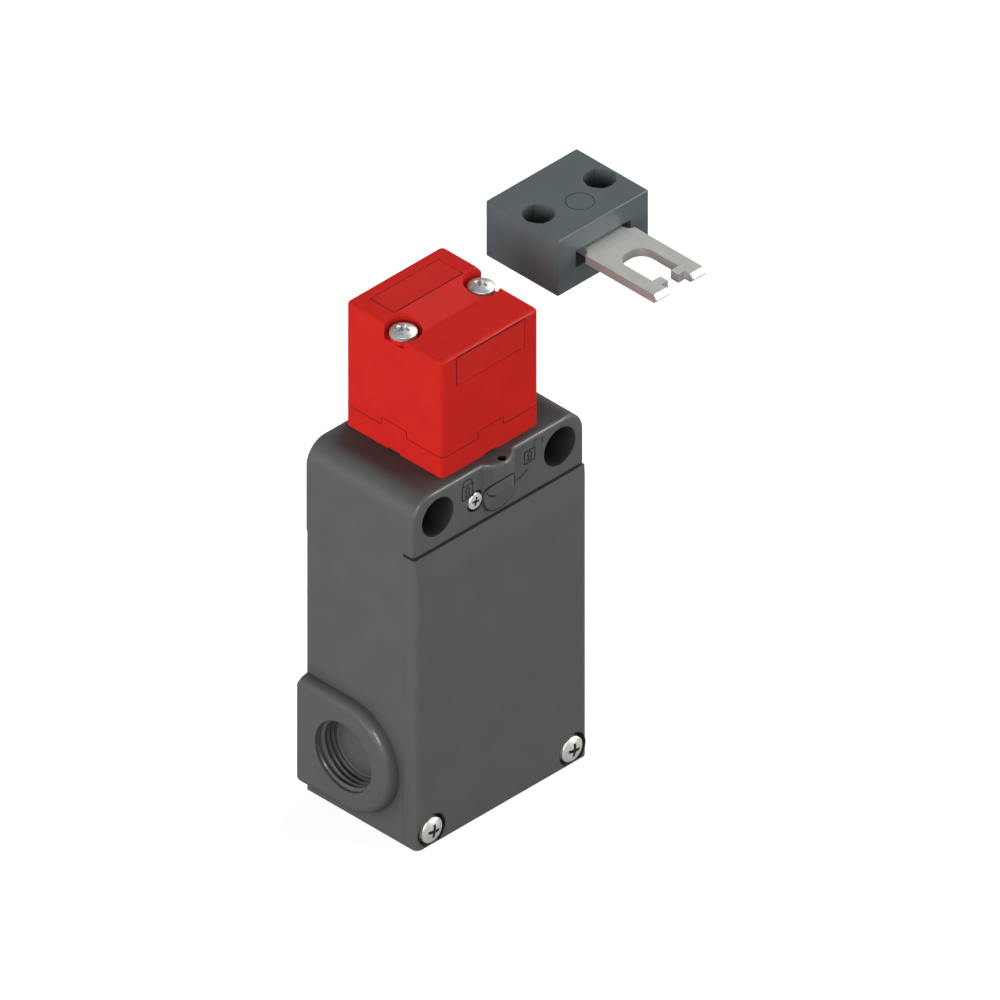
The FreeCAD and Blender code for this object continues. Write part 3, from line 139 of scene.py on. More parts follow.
floorGlow.inputs["Strength"].default_value = floorValues["glow"]
floorAdd = floorNodes.new("ShaderNodeAddShader")
floorPick = floorNodes.new("ShaderNodeMixShader")
floorRays = floorNodes.new("ShaderNodeLightPath")
floorLinks.new(floorDiffuse.outputs[0], floorAdd.inputs[0])
floorLinks.new(floorGlow.outputs[0], floorAdd.inputs[1])
floorLinks.new(floorRays.outputs["Is Camera Ray"], floorPick.inputs[0])
floorLinks.new(floorDim.outputs[0], floorPick.inputs[1])
floorLinks.new(floorAdd.outputs[0], floorPick.inputs[2])
floorLinks.new(floorPick.outputs[0], floorOutput.inputs[0])
floorMesh.materials.append(floorPaint)
print("stage 2: camera, lamps and floor")


# materials

surfaceValues = {"plasticGloss": 0.05, "plasticDepth": 0.05, "metalGloss": 0.06, "metalDepth": 0.03,
                 "skinRoughness": 0.14, "edgeSamples": 6, "paintedHollowShadeSamples": 8}


def newMaterial(name):
    material = bpy.data.materials.new(name)
    material.use_nodes = True
    tree = material.node_tree
    return material, tree.nodes, tree.links, tree.nodes["Principled BSDF"]


def noiseNode(nodesOf, linksOf, place, size, detail):
    noise = nodesOf.new("ShaderNodeTexNoise")
    noise.inputs["Scale"].default_value = 1 / (size * mm)
    noise.inputs["Detail"].default_value = detail
    linksOf.new(place.outputs["Object"], noise.inputs["Vector"])
    return noise


def colourRamp(nodesOf, linksOf, source, low, high, ends=(0.35, 0.65)):
    ramp = nodesOf.new("ShaderNodeValToRGB")
    ramp.color_ramp.elements[0].position = ends[0]
    ramp.color_ramp.elements[1].position = ends[1]
    ramp.color_ramp.elements[0].color = (*low, 1)
    ramp.color_ramp.elements[1].color = (*high, 1)
    linksOf.new(source.outputs["Fac"], ramp.inputs["Fac"])
    return ramp


def shadeHollows(nodesOf, linksOf, place, ramp, shader, values):
    # painted shade: ambient occlusion darkens the base colour in inner corners, everywhere within a few
    # millimetres, and wider on the upper part round the head
    reaches = []
    for key in ("near", "wide"):
        paintedHollowShade = nodesOf.new("ShaderNodeAmbientOcclusion")
        paintedHollowShade.samples = surfaceValues["paintedHollowShadeSamples"]
        paintedHollowShade.only_local = key == "near"
        paintedHollowShade.inputs["Distance"].default_value = values[key] * mm
        reaches.append(paintedHollowShade)
    apart = nodesOf.new("ShaderNodeSeparateXYZ")
    linksOf.new(place.outputs["Object"], apart.inputs[0])
    upper = nodesOf.new("ShaderNodeMapRange")
    upper.inputs["From Min"].default_value = values["low"] * mm
    upper.inputs["From Max"].default_value = values["high"] * mm
    linksOf.new(apart.outputs["Z"], upper.inputs["Value"])
    blend = nodesOf.new("ShaderNodeMix")
    blend.inputs["A"].default_value = 1
    linksOf.new(upper.outputs["Result"], blend.inputs["Factor"])
    linksOf.new(reaches[1].outputs["AO"], blend.inputs["B"])
    both = nodesOf.new("ShaderNodeMath")
    both.operation = "MULTIPLY"
    linksOf.new(reaches[0].outputs["AO"], both.inputs[0])
    linksOf.new(blend.outputs["Result"], both.inputs[1])
    darker = nodesOf.new("ShaderNodeVectorMath")
    darker.operation = "SCALE"
    linksOf.new(ramp.outputs["Color"], darker.inputs[0])
    linksOf.new(both.outputs["Value"], darker.inputs["Scale"])
    linksOf.new(darker.outputs["Vector"], shader.inputs["Base Color"])


def mouldedPlastic(name, values):
    # eroded mould texture: fine bump, faint cloudy tone, softened edges, and for the housing painted shade
    # in hollows
    material, nodesOf, linksOf, shader = newMaterial(name)
    place = nodesOf.new("ShaderNodeTexCoord")
    cloud = noiseNode(nodesOf, linksOf, place, values["cloudSize"], 2)
    darkest = [shade * (1 - values["drift"]) for shade in values["colour"]]
    lightest = [shade * (1 + values["drift"]) for shade in values["colour"]]
    ramp = colourRamp(nodesOf, linksOf, cloud, darkest, lightest)
    linksOf.new(ramp.outputs["Color"], shader.inputs["Base Color"])
    # painted shade in hollows, where the values give it
    if "paintedHollowShade" in values:
        shadeHollows(nodesOf, linksOf, place, ramp, shader, values["paintedHollowShade"])
    grain = noiseNode(nodesOf, linksOf, place, values["grainSize"], 3)
    gloss = nodesOf.new("ShaderNodeMapRange")
    gloss.inputs["To Min"].default_value = values["roughness"] - surfaceValues["plasticGloss"]
    gloss.inputs["To Max"].default_value = values["roughness"] + surfaceValues["plasticGloss"]
    linksOf.new(grain.outputs["Fac"], gloss.inputs["Value"])
    linksOf.new(gloss.outputs["Result"], shader.inputs["Roughness"])
    softEdge = nodesOf.new("ShaderNodeBevel")
    softEdge.samples = surfaceValues["edgeSamples"]
    softEdge.inputs["Radius"].default_value = values["edge"] * mm
    bump = nodesOf.new("ShaderNodeBump")
    bump.inputs["Strength"].default_value = values["grain"]
    bump.inputs["Distance"].default_value = surfaceValues["plasticDepth"] * mm
    linksOf.new(grain.outputs["Fac"], bump.inputs["Height"])
    linksOf.new(softEdge.outputs["Normal"], bump.inputs["Normal"])
    linksOf.new(bump.outputs["Normal"], shader.inputs["Normal"])
    shader.inputs["Specular IOR Level"].default_value = values["shine"]
    shader.inputs["Coat Weight"].default_value = values["skin"]
    shader.inputs["Coat Roughness"].default_value = surfaceValues["skinRoughness"]
    return material


def drawnMetal(name, values):
    # metal with a drawn or rolled grain along one axis
    material, nodesOf, linksOf, shader = newMaterial(name)
    place = nodesOf.new("ShaderNodeTexCoord")
    stretch = nodesOf.new("ShaderNodeMapping")
    stretch.inputs["Scale"].default_value = values["stretch"]
    linksOf.new(place.outputs["Object"], stretch.inputs["Vector"])
    grain = nodesOf.new("ShaderNodeTexNoise")
    grain.inputs["Scale"].default_value = 1 / (values["grainSize"] * mm)
    grain.inputs["Detail"].default_value = 3
    linksOf.new(stretch.outputs["Vector"], grain.inputs["Vector"])
    darkest = [shade * (1 - values["drift"]) for shade in values["colour"]]
    lightest = [min(1, shade * (1 + values["drift"])) for shade in values["colour"]]
    ramp = colourRamp(nodesOf, linksOf, grain, darkest, lightest)
    linksOf.new(ramp.outputs["Color"], shader.inputs["Base Color"])
    gloss = nodesOf.new("ShaderNodeMapRange")
    gloss.inputs["To Min"].default_value = values["roughness"] - surfaceValues["metalGloss"]
    gloss.inputs["To Max"].default_value = values["roughness"] + surfaceValues["metalGloss"]
    linksOf.new(grain.outputs["Fac"], gloss.inputs["Value"])
    linksOf.new(gloss.outputs["Result"], shader.inputs["Roughness"])
    bump = nodesOf.new("ShaderNodeBump")
    bump.inputs["Strength"].default_value = values["grain"]
    bump.inputs["Distance"].default_value = surfaceValues["metalDepth"] * mm
    linksOf.new(grain.outputs["Fac"], bump.inputs["Height"])
    linksOf.new(bump.outputs["Normal"], shader.inputs["Normal"])
    shader.inputs["Metallic"].default_value = values["metallic"]
    return material


plasticValues = {
    "housing": {"colour": (0.104, 0.110, 0.105), "roughness": 0.50, "shine": 0.12, "skin": 0.13,
                "cloudSize": 9, "drift": 0.03, "grainSize": 0.22, "grain": 0.30, "edge": 0.35,
                # painted shade: ambient occlusion darkens the housing's colour in its hollows
                "paintedHollowShade": {"near": 5, "wide": 24, "low": 70, "high": 84}},
    "block": {"colour": (0.096, 0.118, 0.125), "roughness": 0.50, "shine": 0.12, "skin": 0.08,
              "cloudSize": 9, "drift": 0.03, "grainSize": 0.22, "grain": 0.30, "edge": 0.25},
    "head": {"colour": (0.587, 0.020, 0.015), "roughness": 0.45, "shine": 0.02, "skin": 0.03,
             "cloudSize": 9, "drift": 0.03, "grainSize": 0.22, "grain": 0.22, "edge": 0.3},
    "shutter": {"colour": (0.575, 0.020, 0.015), "roughness": 0.42, "shine": 0.05, "skin": 0.05,
                "cloudSize": 7, "drift": 0.03, "grainSize": 0.2, "grain": 0.12, "edge": 0.1},
    "dial": {"colour": (0.100, 0.107, 0.103), "roughness": 0.45, "shine": 0.12, "skin": 0.12,
             "cloudSize": 5, "drift": 0.03, "grainSize": 0.2, "grain": 0.2, "edge": 0.2},
    "inner": {"colour": (0.52, 0.51, 0.47), "roughness": 0.45, "shine": 0.4, "skin": 0.0,
              "cloudSize": 6, "drift": 0.04, "grainSize": 0.3, "grain": 0.15, "edge": 0.15},
    "seal": {"colour": (0.012, 0.012, 0.013), "roughness": 0.72, "shine": 0.2, "skin": 0.0,
             "cloudSize": 3, "drift": 0.10, "grainSize": 0.3, "grain": 0.35, "edge": 0.1},
    # painted shade: the dark colour of the lines that stand for engraved marks, gaps, recesses and notches,
    # and of the dial's pointer and the block's ring
    "mark": {"colour": (0.020, 0.022, 0.023), "roughness": 0.62, "shine": 0.1, "skin": 0.0,
             "cloudSize": 2, "drift": 0.06, "grainSize": 0.2, "grain": 0.2, "edge": 0.05},
    # painted shade in the crossed recesses of the cover and lock screws
    "recess": {"colour": (0.050, 0.052, 0.046), "roughness": 0.55, "shine": 0.3, "skin": 0.0,
               "cloudSize": 1, "drift": 0.20, "grainSize": 0.2, "grain": 0.2, "edge": 0.05},
    # painted shade: the dark red of the lines in the seam round the head's collar and along the key
    # entries' edges
    "seam": {"colour": (0.090, 0.006, 0.005), "roughness": 0.62, "shine": 0.1, "skin": 0.0,
             "cloudSize": 2, "drift": 0.06, "grainSize": 0.2, "grain": 0.2, "edge": 0.05},
}
metalValues = {
    "plated": {"colour": (0.80, 0.80, 0.75), "roughness": 0.34, "grainSize": 0.5, "stretch": (1, 1, 1),
               "drift": 0.08, "grain": 0.10, "metallic": 0.5},
    # painted shade: a darker, more streaked copy of the plated steel for the head screws, whose upward
    # crowns the lamps light more
    "paintedShadeCopy": {"colour": (0.44, 0.45, 0.43), "roughness": 0.36, "grainSize": 0.8, "stretch": (1, 1, 1),
               "drift": 0.22, "grain": 0.15, "metallic": 0.5},
    "bright": {"colour": (0.50, 0.50, 0.472), "roughness": 0.38, "grainSize": 0.35, "stretch": (1, 0.06, 1),
               "drift": 0.05, "grain": 0.12, "metallic": 0.6},
    "brass": {"colour": (0.72, 0.50, 0.20), "roughness": 0.32, "grainSize": 0.4, "stretch": (1, 1, 1),
              "drift": 0.08, "grain": 0.10, "metallic": 1.0},
    "winding": {"colour": (0.55, 0.20, 0.07), "roughness": 0.30, "grainSize": 0.25,
                "stretch": (1, 0.02, 0.02), "drift": 0.25, "grain": 0.6, "metallic": 0.9},
}
housingPlastic = mouldedPlastic("housingPlastic", plasticValues["housing"])
blockPlastic = mouldedPlastic("blockPlastic", plasticValues["block"])
headPlastic = mouldedPlastic("headPlastic", plasticValues["head"])
shutterPlastic = mouldedPlastic("shutterPlastic", plasticValues["shutter"])
dialPlastic = mouldedPlastic("dialPlastic", plasticValues["dial"])
innerPlastic = mouldedPlastic("innerPlastic", plasticValues["inner"])
sealRubber = mouldedPlastic("sealRubber", plasticValues["seal"])
markShade = mouldedPlastic("markShade", plasticValues["mark"])
seamShade = mouldedPlastic("seamShade", plasticValues["seam"])
recessShade = mouldedPlastic("recessShade", plasticValues["recess"])
platedSteel = drawnMetal("platedSteel", metalValues["plated"])
paintedShadeCopySteel = drawnMetal("paintedShadeCopySteel", metalValues["paintedShadeCopy"])
brightSteel = drawnMetal("brightSteel", metalValues["bright"])
contactBrass = drawnMetal("contactBrass", metalValues["brass"])
windingCopper = drawnMetal("windingCopper", metalValues["winding"])

finishBySlot = {
    "housing_plastic": housingPlastic, "head_plastic": headPlastic, "shutter_plastic": shutterPlastic,
    "dial_plastic": dialPlastic, "inner_plastic": innerPlastic, "seal_rubber": sealRubber,
    "plated_steel": platedSteel, "bright_steel": brightSteel, "contact_brass": contactBrass,
    "winding_copper": windingCopper,
}
slotOfNode = {entry["node"]: entry["material_slot"] for entry in frame["record"]["subparts"]}
for nodeName, node in nodes.items():
    finish = finishBySlot[slotOfNode[nodeName]]
    if nodeName == "actuator_block":
        finish = blockPlastic
    node.data.materials.clear()
    node.data.materials.append(finish)
print("stage 3: materials on", len(nodes), "nodes")


# mesh helpers

def objectFrom(mesh, name):
    mesh.normal_update()
    data = bpy.data.meshes.new(name)
    mesh.to_mesh(data)
    mesh.free()
    result = bpy.data.objects.new(name, data)
    bpy.context.scene.collection.objects.link(result)
    return result


def alongAxis(place, axis):
    # matrix that stands a shape made along +Z on a place, pointing along an axis
    turn = Vector(axis).to_track_quat("Z", "Y").to_matrix().to_4x4()
    return Matrix.Translation(point(*place)) @ turn


def lathed(name, profile, place, axis, steps=72):
    # revolve (radius, height) pairs; a profile that starts and ends on the axis closes by itself
    mesh = bmesh.new()
    rings = []
    for radius, height in profile:
        if radius < 1e-6:
            rings.append([mesh.verts.new((0, 0, height * mm))])
            continue
        ring = []
        for step in range(steps):
            angle = 2 * math.pi * step / steps
            across, along = radius * math.cos(angle), radius * math.sin(angle)
            ring.append(mesh.verts.new((across * mm, along * mm, height * mm)))
        rings.append(ring)
    pairs = list(zip(rings, rings[1:]))
    if len(rings[0]) > 1:
        pairs.append((rings[-1], rings[0]))
    for low, high in pairs:
        for step in range(steps):
            after = (step + 1) % steps
            if len(low) == 1:
                mesh.faces.new((low[0], high[after], high[step]))
            elif len(high) == 1:
                mesh.faces.new((low[step], low[after], high[0]))
            else:
                mesh.faces.new((low[step], low[after], high[after], high[step]))
    bmesh.ops.recalc_face_normals(mesh, faces=mesh.faces)
    mesh.transform(alongAxis(place, axis))
    return objectFrom(mesh, name)


def frontAt(level):
    # surface coordinates are X and Z, heights stand out of the front
    return lambda a, b, height: point(a, level - height, b)


def topAt(level):
    # surface coordinates are X and Y, heights stand out of the top
    return lambda a, b, height: point(a, b, level + height)


def slab(name, outline, low, high, place):
    # a flat outline drawn out between two heights
    mesh = bmesh.new()
    bottom = [mesh.verts.new(place(a, b, low)) for a, b in outline]
    top = [mesh.verts.new(place(a, b, high)) for a, b in outline]
    mesh.faces.new(bottom[::-1])
    mesh.faces.new(top)
    count = len(outline)
    for step in range(count):
        after = (step + 1) % count
        mesh.faces.new((bottom[step], bottom[after], top[after], top[step]))
    bmesh.ops.recalc_face_normals(mesh, faces=mesh.faces)
    return objectFrom(mesh, name)


def joinSections(mesh, sections, closed=False):
    # side faces between the sections of a sweep, and an end face at each end of an open one
    pairs = list(zip(sections, sections[1:]))
    if closed:
        pairs.append((sections[-1], sections[0]))
    for one, two in pairs:
        for corner in range(len(one)):
            following = (corner + 1) % len(one)
            mesh.faces.new((one[corner], one[following], two[following], two[corner]))
    if not closed:
        mesh.faces.new(sections[0][::-1])
        mesh.faces.new(sections[-1])


mitreLimit = 0.5


def ribbon(name, paths, width, low, high, place):
    # thin lines on a surface: each path is (points, closed), a strip with mitred corners; a third number in
    # a point is the strip's own width there
    mesh = bmesh.new()
    for points, closed in paths:
        count = len(points)
        strips = []
        for index in range(count):
            here = Vector(points[index][:2])
            before = Vector(points[index - 1][:2]) if closed or index else None
            after = Vector(points[(index + 1) % count][:2]) if closed or index < count - 1 else None
            inward = (here - before).normalized() if before is not None else (after - here).normalized()
            outward = (after - here).normalized() if after is not None else inward
            middle = (inward + outward).normalized()
            side = Vector((-middle.y, middle.x))
            wide = points[index][2] if len(points[index]) > 2 else width
            reach = wide / 2 / max(mitreLimit, middle.dot(inward))
            corners = []
            for sign, height in ((1, low), (1, high), (-1, high), (-1, low)):
                spot = here + side * sign * reach
                corners.append(mesh.verts.new(place(spot.x, spot.y, height)))
            strips.append(corners)
        joinSections(mesh, strips, closed)
    bmesh.ops.recalc_face_normals(mesh, faces=mesh.faces)
    return objectFrom(mesh, name)


def bake(target):
    graph = bpy.context.evaluated_depsgraph_get()
    graph.update()
    made = bpy.data.meshes.new_from_object(target.evaluated_get(graph))
    old = target.data
    name = old.name
    target.modifiers.clear()
    target.data = made
    bpy.data.meshes.remove(old)
    made.name = name


def cutAway(target, *cutters):
    # the faces a cutter leaves take the cutter's own finish
    for cutter in cutters:
        step = target.modifiers.new("cut", "BOOLEAN")
        step.operation = "DIFFERENCE"
        step.solver = "EXACT"
        step.object = cutter
        step.material_mode = "TRANSFER"
        bake(target)
        cutterData = cutter.data
        bpy.data.objects.remove(cutter)
        bpy.data.meshes.remove(cutterData)


def tidyMesh(target, smallest=0.002):
    mesh = bmesh.new()
    mesh.from_mesh(target.data)
    bmesh.ops.remove_doubles(mesh, verts=mesh.verts, dist=smallest * mm)
    bmesh.ops.dissolve_degenerate(mesh, edges=mesh.edges, dist=smallest * mm)
    mesh.to_mesh(target.data)
    mesh.free()


def settle(target, body, material, smooth=35):
    # the last step of every piece: shading, finish and the body that carries it
    if not target.data.materials:
        target.data.materials.append(material)
    target.data.shade_smooth()
    target.data.set_sharp_from_angle(angle=math.radians(smooth))
    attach(target, body)
    return target


# screws: pan heads with a crossed recess, and the raised seats under the two in the head

sides = ((-1, "Left"), (1, "Right"))
screwValues = {
    "cover": {"head": 3.32, "height": 2.9, "dome": 0.8, "shank": 1.5, "length": 12.9, "arm": 1.95,
              "armWidth": 0.85, "depth": 1.5, "finish": platedSteel, "inside": recessShade},
    # the head screws use the darker steel copy, painted shade, inside and out
    "head": {"head": 3.28, "height": 1.9, "dome": 0.8, "shank": 1.6, "length": 40.2, "arm": 1.95,
             "armWidth": 0.85, "depth": 1.1, "finish": paintedShadeCopySteel, "inside": paintedShadeCopySteel},
    "lock": {"head": 2.12, "height": 1.8, "dome": 0.2, "shank": 1.1, "length": 7.5, "arm": 1.3,
             "armWidth": 0.6, "depth": 0.9, "finish": platedSteel, "inside": recessShade},
}
screwShape = {"tip": 0.8, "tipShare": 0.6, "neckShare": 0.96, "chamfer": 0.12, "rimDrop": 0.1,
              "rimInset": 0.08, "domeSteps": 8, "smooth": 32}
crossShape = {"floorArm": 0.45, "floorWidth": 0.8, "mouthArm": 1.12, "mouthWidth": 1.1, "above": 0.3}
screwPlaces = {
    "coverScrewLeft": {"kind": "cover", "top": (-23, -18.8, 3.85), "axis": (0, -1, 0), "turn": -8,
                       "node": "cover_screw_left"},
    "coverScrewRight": {"kind": "cover", "top": (23, -18.8, 3.85), "axis": (0, -1, 0), "turn": -8,
                        "node": "cover_screw_right"},
    "headScrewLeft": {"kind": "head", "top": (-12.75, 1.7, 131.7), "axis": (0, 0, 1), "turn": 12,
                      "node": "head_screw_left"},
    "headScrewRight": {"kind": "head", "top": (12.75, 1.7, 131.7), "axis": (0, 0, 1), "turn": 12,
                       "node": "head_screw_right"},
    "dialLockScrew": {"kind": "lock", "top": (-7.7, -17.1, 89.1), "axis": (0, -1, 0), "turn": -12,
                      "node": "dial_lock_screw"},
}


def crossCutter(values, place, axis, turn):
    # one closed cross: twelve corners at the recess floor, twelve wider ones just above the crown
    mesh = bmesh.new()
    arm, thick = values["arm"], values["armWidth"]
    recessFloor = (-values["depth"], arm * crossShape["floorArm"], thick * crossShape["floorWidth"])
    recessMouth = (crossShape["above"], arm * crossShape["mouthArm"], thick * crossShape["mouthWidth"])
    levels = []
    for height, reach, width in (recessFloor, recessMouth):
        half = width / 2
        ring = []
        for quarter in range(4):
            spin = Matrix.Rotation(math.radians(turn - 90 * quarter), 3, "Z")
            for x, y in ((half, half), (reach, half), (reach, -half)):
                corner = spin @ Vector((x, y, 0))
                ring.append(mesh.verts.new((corner.x * mm, corner.y * mm, height * mm)))
        levels.append(ring)
    low, high = levels
    mesh.faces.new(low)
    mesh.faces.new(high)
    for step in range(len(low)):
        after = (step + 1) % len(low)
        mesh.faces.new((low[step], low[after], high[after], high[step]))
    bmesh.ops.recalc_face_normals(mesh, faces=mesh.faces)
    mesh.transform(alongAxis(place, axis))
    cutter = objectFrom(mesh, "crossCutter")
    # the cross's faces take the cutter's material, which paints the shade in the recess
    cutter.data.materials.append(values["inside"])
    return cutter


def panScrew(name, place):
    # profile from the shank's end up to the crown of the head
    values, shape = screwValues[place["kind"]], screwShape
    head, shank, low = values["head"], values["shank"], -values["height"]
    rim, dome = -values["dome"], values["dome"]
    foot = low - values["length"]
    crown = head - shape["rimInset"]
    profile = [(0, foot), (shank * shape["tipShare"], foot), (shank, foot + shape["tip"]), (shank, low),
               (head * shape["neckShare"], low), (head, low + shape["chamfer"]),
               (head, rim - shape["rimDrop"]), (crown, rim)]
    for step in range(1, shape["domeSteps"] + 1):
        share = 1 - step / shape["domeSteps"]
        profile.append((crown * share, rim + dome * (1 - share * share)))
    screw = lathed(name, profile, place["top"], place["axis"])
    screw.data.materials.append(values["finish"])
    cutAway(screw, crossCutter(values, place["top"], place["axis"], place["turn"]))
    tidyMesh(screw)
    settle(screw, "base", values["finish"], shape["smooth"])
    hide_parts(place["node"])


seatValues = {"radius": 3.08, "bore": 1.75, "edge": 0.1, "low": 128.5, "high": 129.8, "across": 12.75,
              "along": 1.7}


def screwSeat(name, side):
    # the raised seat under one head screw
    values = seatValues
    profile = [(values["bore"], values["low"]), (values["radius"], values["low"]),
               (values["radius"], values["high"] - values["edge"]),
               (values["radius"] - values["edge"], values["high"]), (values["bore"], values["high"])]
    seat = lathed(name, profile, (side * values["across"], values["along"], 0), (0, 0, 1))
    settle(seat, "base", headPlastic)


for screwName, screwPlace in screwPlaces.items():
    panScrew(screwName, screwPlace)
for side, word in sides:
    screwSeat("headScrewSeat" + word, side)
print("stage 4: screws and their seats")


# conduit entries: a helical thread inside each bore and a score ring on its membrane

threadValues = {"radius": 9.25, "height": 0.70, "pitch": 1.5, "turns": 3.55, "start": 0.35, "steps": 96,
                "centre": (2.9, 18.4), "face": 31.35, "fade": 14, "faintest": 0.02, "lead": 0.5,
                "footShare": 0.46, "sunk": 0.15, "crestHalf": 0.12, "smooth": 30}
membraneValues = {"radius": 7.4, "width": 0.45, "rise": 0.18, "depth": 6.0, "sunk": 0.1, "edge": 0.05,
                  "crest": 0.12}


def conduitThread(name, side):
    # a ridge that runs in from the boss face and fades out at both ends
    values = threadValues
    halfFoot = values["pitch"] * values["footShare"]
    wall = values["radius"] + values["sunk"]
    total = int(values["turns"] * values["steps"])
    mesh = bmesh.new()
    sections = []
    for step in range(total + 1):
        share = step / total
        turn = 2 * math.pi * step / values["steps"]
        fade = min(1, share * values["fade"], (1 - share) * values["fade"])
        depth = values["start"] + values["pitch"] * (values["lead"] + step / values["steps"])
        crest = values["radius"] - values["height"] * max(fade, values["faintest"])
        section = []
        for radius, shift in ((wall, -halfFoot), (crest, -values["crestHalf"]),
                              (crest, values["crestHalf"]), (wall, halfFoot)):
            x = side * (values["face"] - depth - shift)
            y = values["centre"][0] + radius * math.cos(turn)
            z = values["centre"][1] + radius * math.sin(turn) * side
            section.append(mesh.verts.new(point(x, y, z)))
        sections.append(section)
    joinSections(mesh, sections)
    bmesh.ops.recalc_face_normals(mesh, faces=mesh.faces)
    settle(objectFrom(mesh, name), "base", housingPlastic, values["smooth"])


def membraneRing(name, side):
    values = membraneValues
    inner, outer, rise = values["radius"], values["radius"] + values["width"], values["rise"]
    sunk, edge, crest = values["sunk"], values["edge"], values["crest"]
    profile = [(inner, -sunk), (inner + edge, rise - edge), (inner + crest, rise), (outer - crest, rise),
               (outer - edge, rise - edge), (outer, -sunk)]
    place = (side * (threadValues["face"] - values["depth"]), *threadValues["centre"])
    settle(lathed(name, profile, place, (side, 0, 0)), "base", housingPlastic)


for side, word in sides:
    conduitThread("conduitThread" + word, side)
for side, word in sides:
    membraneRing("membraneRing" + word, side)
print("stage 5: conduit threads")


# marks on the upper front: two padlocks and a line, dark strips that paint the shade of engraved lines

def arcPoints(centre, radiusX, radiusZ, start, end, steps):
    result = []
    for step in range(steps + 1):
        angle = math.radians(start + (end - start) * step / steps)
        result.append((centre[0] + radiusX * math.cos(angle), centre[1] + radiusZ * math.sin(angle)))
    return result


# each bow and the keyhole are arcs: start and end in degrees and the number of steps
markValues = {
    "line": 0.28, "strokeLine": 0.34, "low": -0.15, "high": 0.04, "plane": -16.8,
    "inset": 0.25, "bowFoot": 0.35, "bowRise": 0.65, "bow": (180, 0, 14),
    "openBow": (180, 105, 8), "openEnd": (40, 0, 5), "stub": 0.2,
    "hole": 0.62, "holeHeight": 0.64, "holeArc": (240, -60, 12), "slotFoot": 0.6,
    "closed": {"left": -11.95, "right": -8.5, "foot": 91.1, "top": 94.8, "crown": 96.4, "shift": 0.0},
    "open": {"left": 8.45, "right": 11.85, "foot": 91.4, "top": 94.7, "crown": 96.8, "shift": 2.75},
    "stroke": ((5.9, 88.1), (9.4, 89.5)),
}
upperFront = frontAt(markValues["plane"])


def padlockMark(name, values):
    left, right, foot, top = values["left"], values["right"], values["foot"], values["top"]
    middle = (left + right) / 2
    shackle = middle + values["shift"]
    reach = (right - left) / 2 - markValues["inset"]
    rise = values["crown"] - top
    bow = (shackle, top + rise * markValues["bowFoot"])
    arch = rise * markValues["bowRise"]
    if values["shift"]:
        started = [(shackle - reach, top)] + arcPoints(bow, reach, arch, *markValues["openBow"])
        ended = arcPoints(bow, reach, arch, *markValues["openEnd"])
        ended.append((shackle + reach, top + markValues["stub"]))
        paths = [(started, False), (ended, False)]
    else:
        whole = [(shackle - reach, top)] + arcPoints(bow, reach, arch, *markValues["bow"])
        whole.append((shackle + reach, top))
        paths = [(whole, False)]
    hole, slotFoot = markValues["hole"], foot + markValues["slotFoot"]
    holeCentre = (middle, foot + (top - foot) * markValues["holeHeight"])
    keyhole = arcPoints(holeCentre, hole, hole, *markValues["holeArc"])
    keyhole += [(middle + hole, slotFoot), (middle - hole, slotFoot)]
    body = [(left, foot), (right, foot), (right, top), (left, top)]
    paths += [(body, True), (keyhole, True)]
    # the dark strips paint the shade of the engraved mark
    mark = ribbon(name, paths, markValues["line"], markValues["low"], markValues["high"], upperFront)
    settle(mark, "base", markShade)


padlockMark("padlockClosedMark", markValues["closed"])
padlockMark("padlockOpenMark", markValues["open"])
openStroke = ribbon("openStroke", [(markValues["stroke"], False)], markValues["strokeLine"],
                    markValues["low"], markValues["high"], upperFront)
settle(openStroke, "base", markShade)
print("stage 6: marks")


# bulge and dial: soft hollows beside the bulge, a dark line painting the shade in the gap round the dial,
# and its pointer

bulgeValues = {"radius": 5.58, "reach": 2.85, "plane": -16.8, "top": 98.0, "round": 1.0, "inner": 3.75,
               "outer": 5.6, "soften": 1.3, "dip": 0.06, "back": 0.5, "steps": 14,
               "tucks": (0.3, 0.55, 0.75, 0.9, 0.995), "smooth": 50}
# the pointer's points are X, Z and the line's own width there
dialValues = {"height": 88.4, "radius": 5.28, "gap": 0.17, "slopeFoot": 0.9, "slopeTop": 0.45,
              "rim": 5.17, "rimSteps": 72, "rimWide": 0.24, "rimThin": 0.15, "rimTurn": 0.2,
              "rise": 0.03, "sunk": 0.3,
              "pointer": ((-4.6, 90.2, 0.12), (-4.3, 89.65, 0.20), (-3.95, 89.25, 0.50),
                          (-3.5, 89.15, 0.56), (-3.1, 89.35, 0.36), (-2.75, 89.65, 0.10))}


def columnReach(x):
    # how far the upright half column stands out of the upper front
    inside = bulgeValues["radius"] ** 2 - x * x
    return bulgeValues["reach"] - bulgeValues["radius"] + math.sqrt(max(0, inside))


def dialReach(x, z):
    # the dial's face leans back from its foot and never stands out further than the column
    low = dialValues["height"] - dialValues["radius"] * dialValues["slopeFoot"]
    high = dialValues["height"] + dialValues["radius"] * dialValues["slopeTop"]
    lean = bulgeValues["reach"] * (z - low) / (high - low)
    return max(0, min(columnReach(x), lean))


def softMax(a, b, reach):
    # the larger of the two, rounded where they are nearly equal
    lap = max(reach - abs(a - b), 0) / reach
    return max(a, b) + lap * lap * reach / 4


def dialSurface(a, b, height):
    return point(a, bulgeValues["plane"] - dialReach(a, b) - height, b)


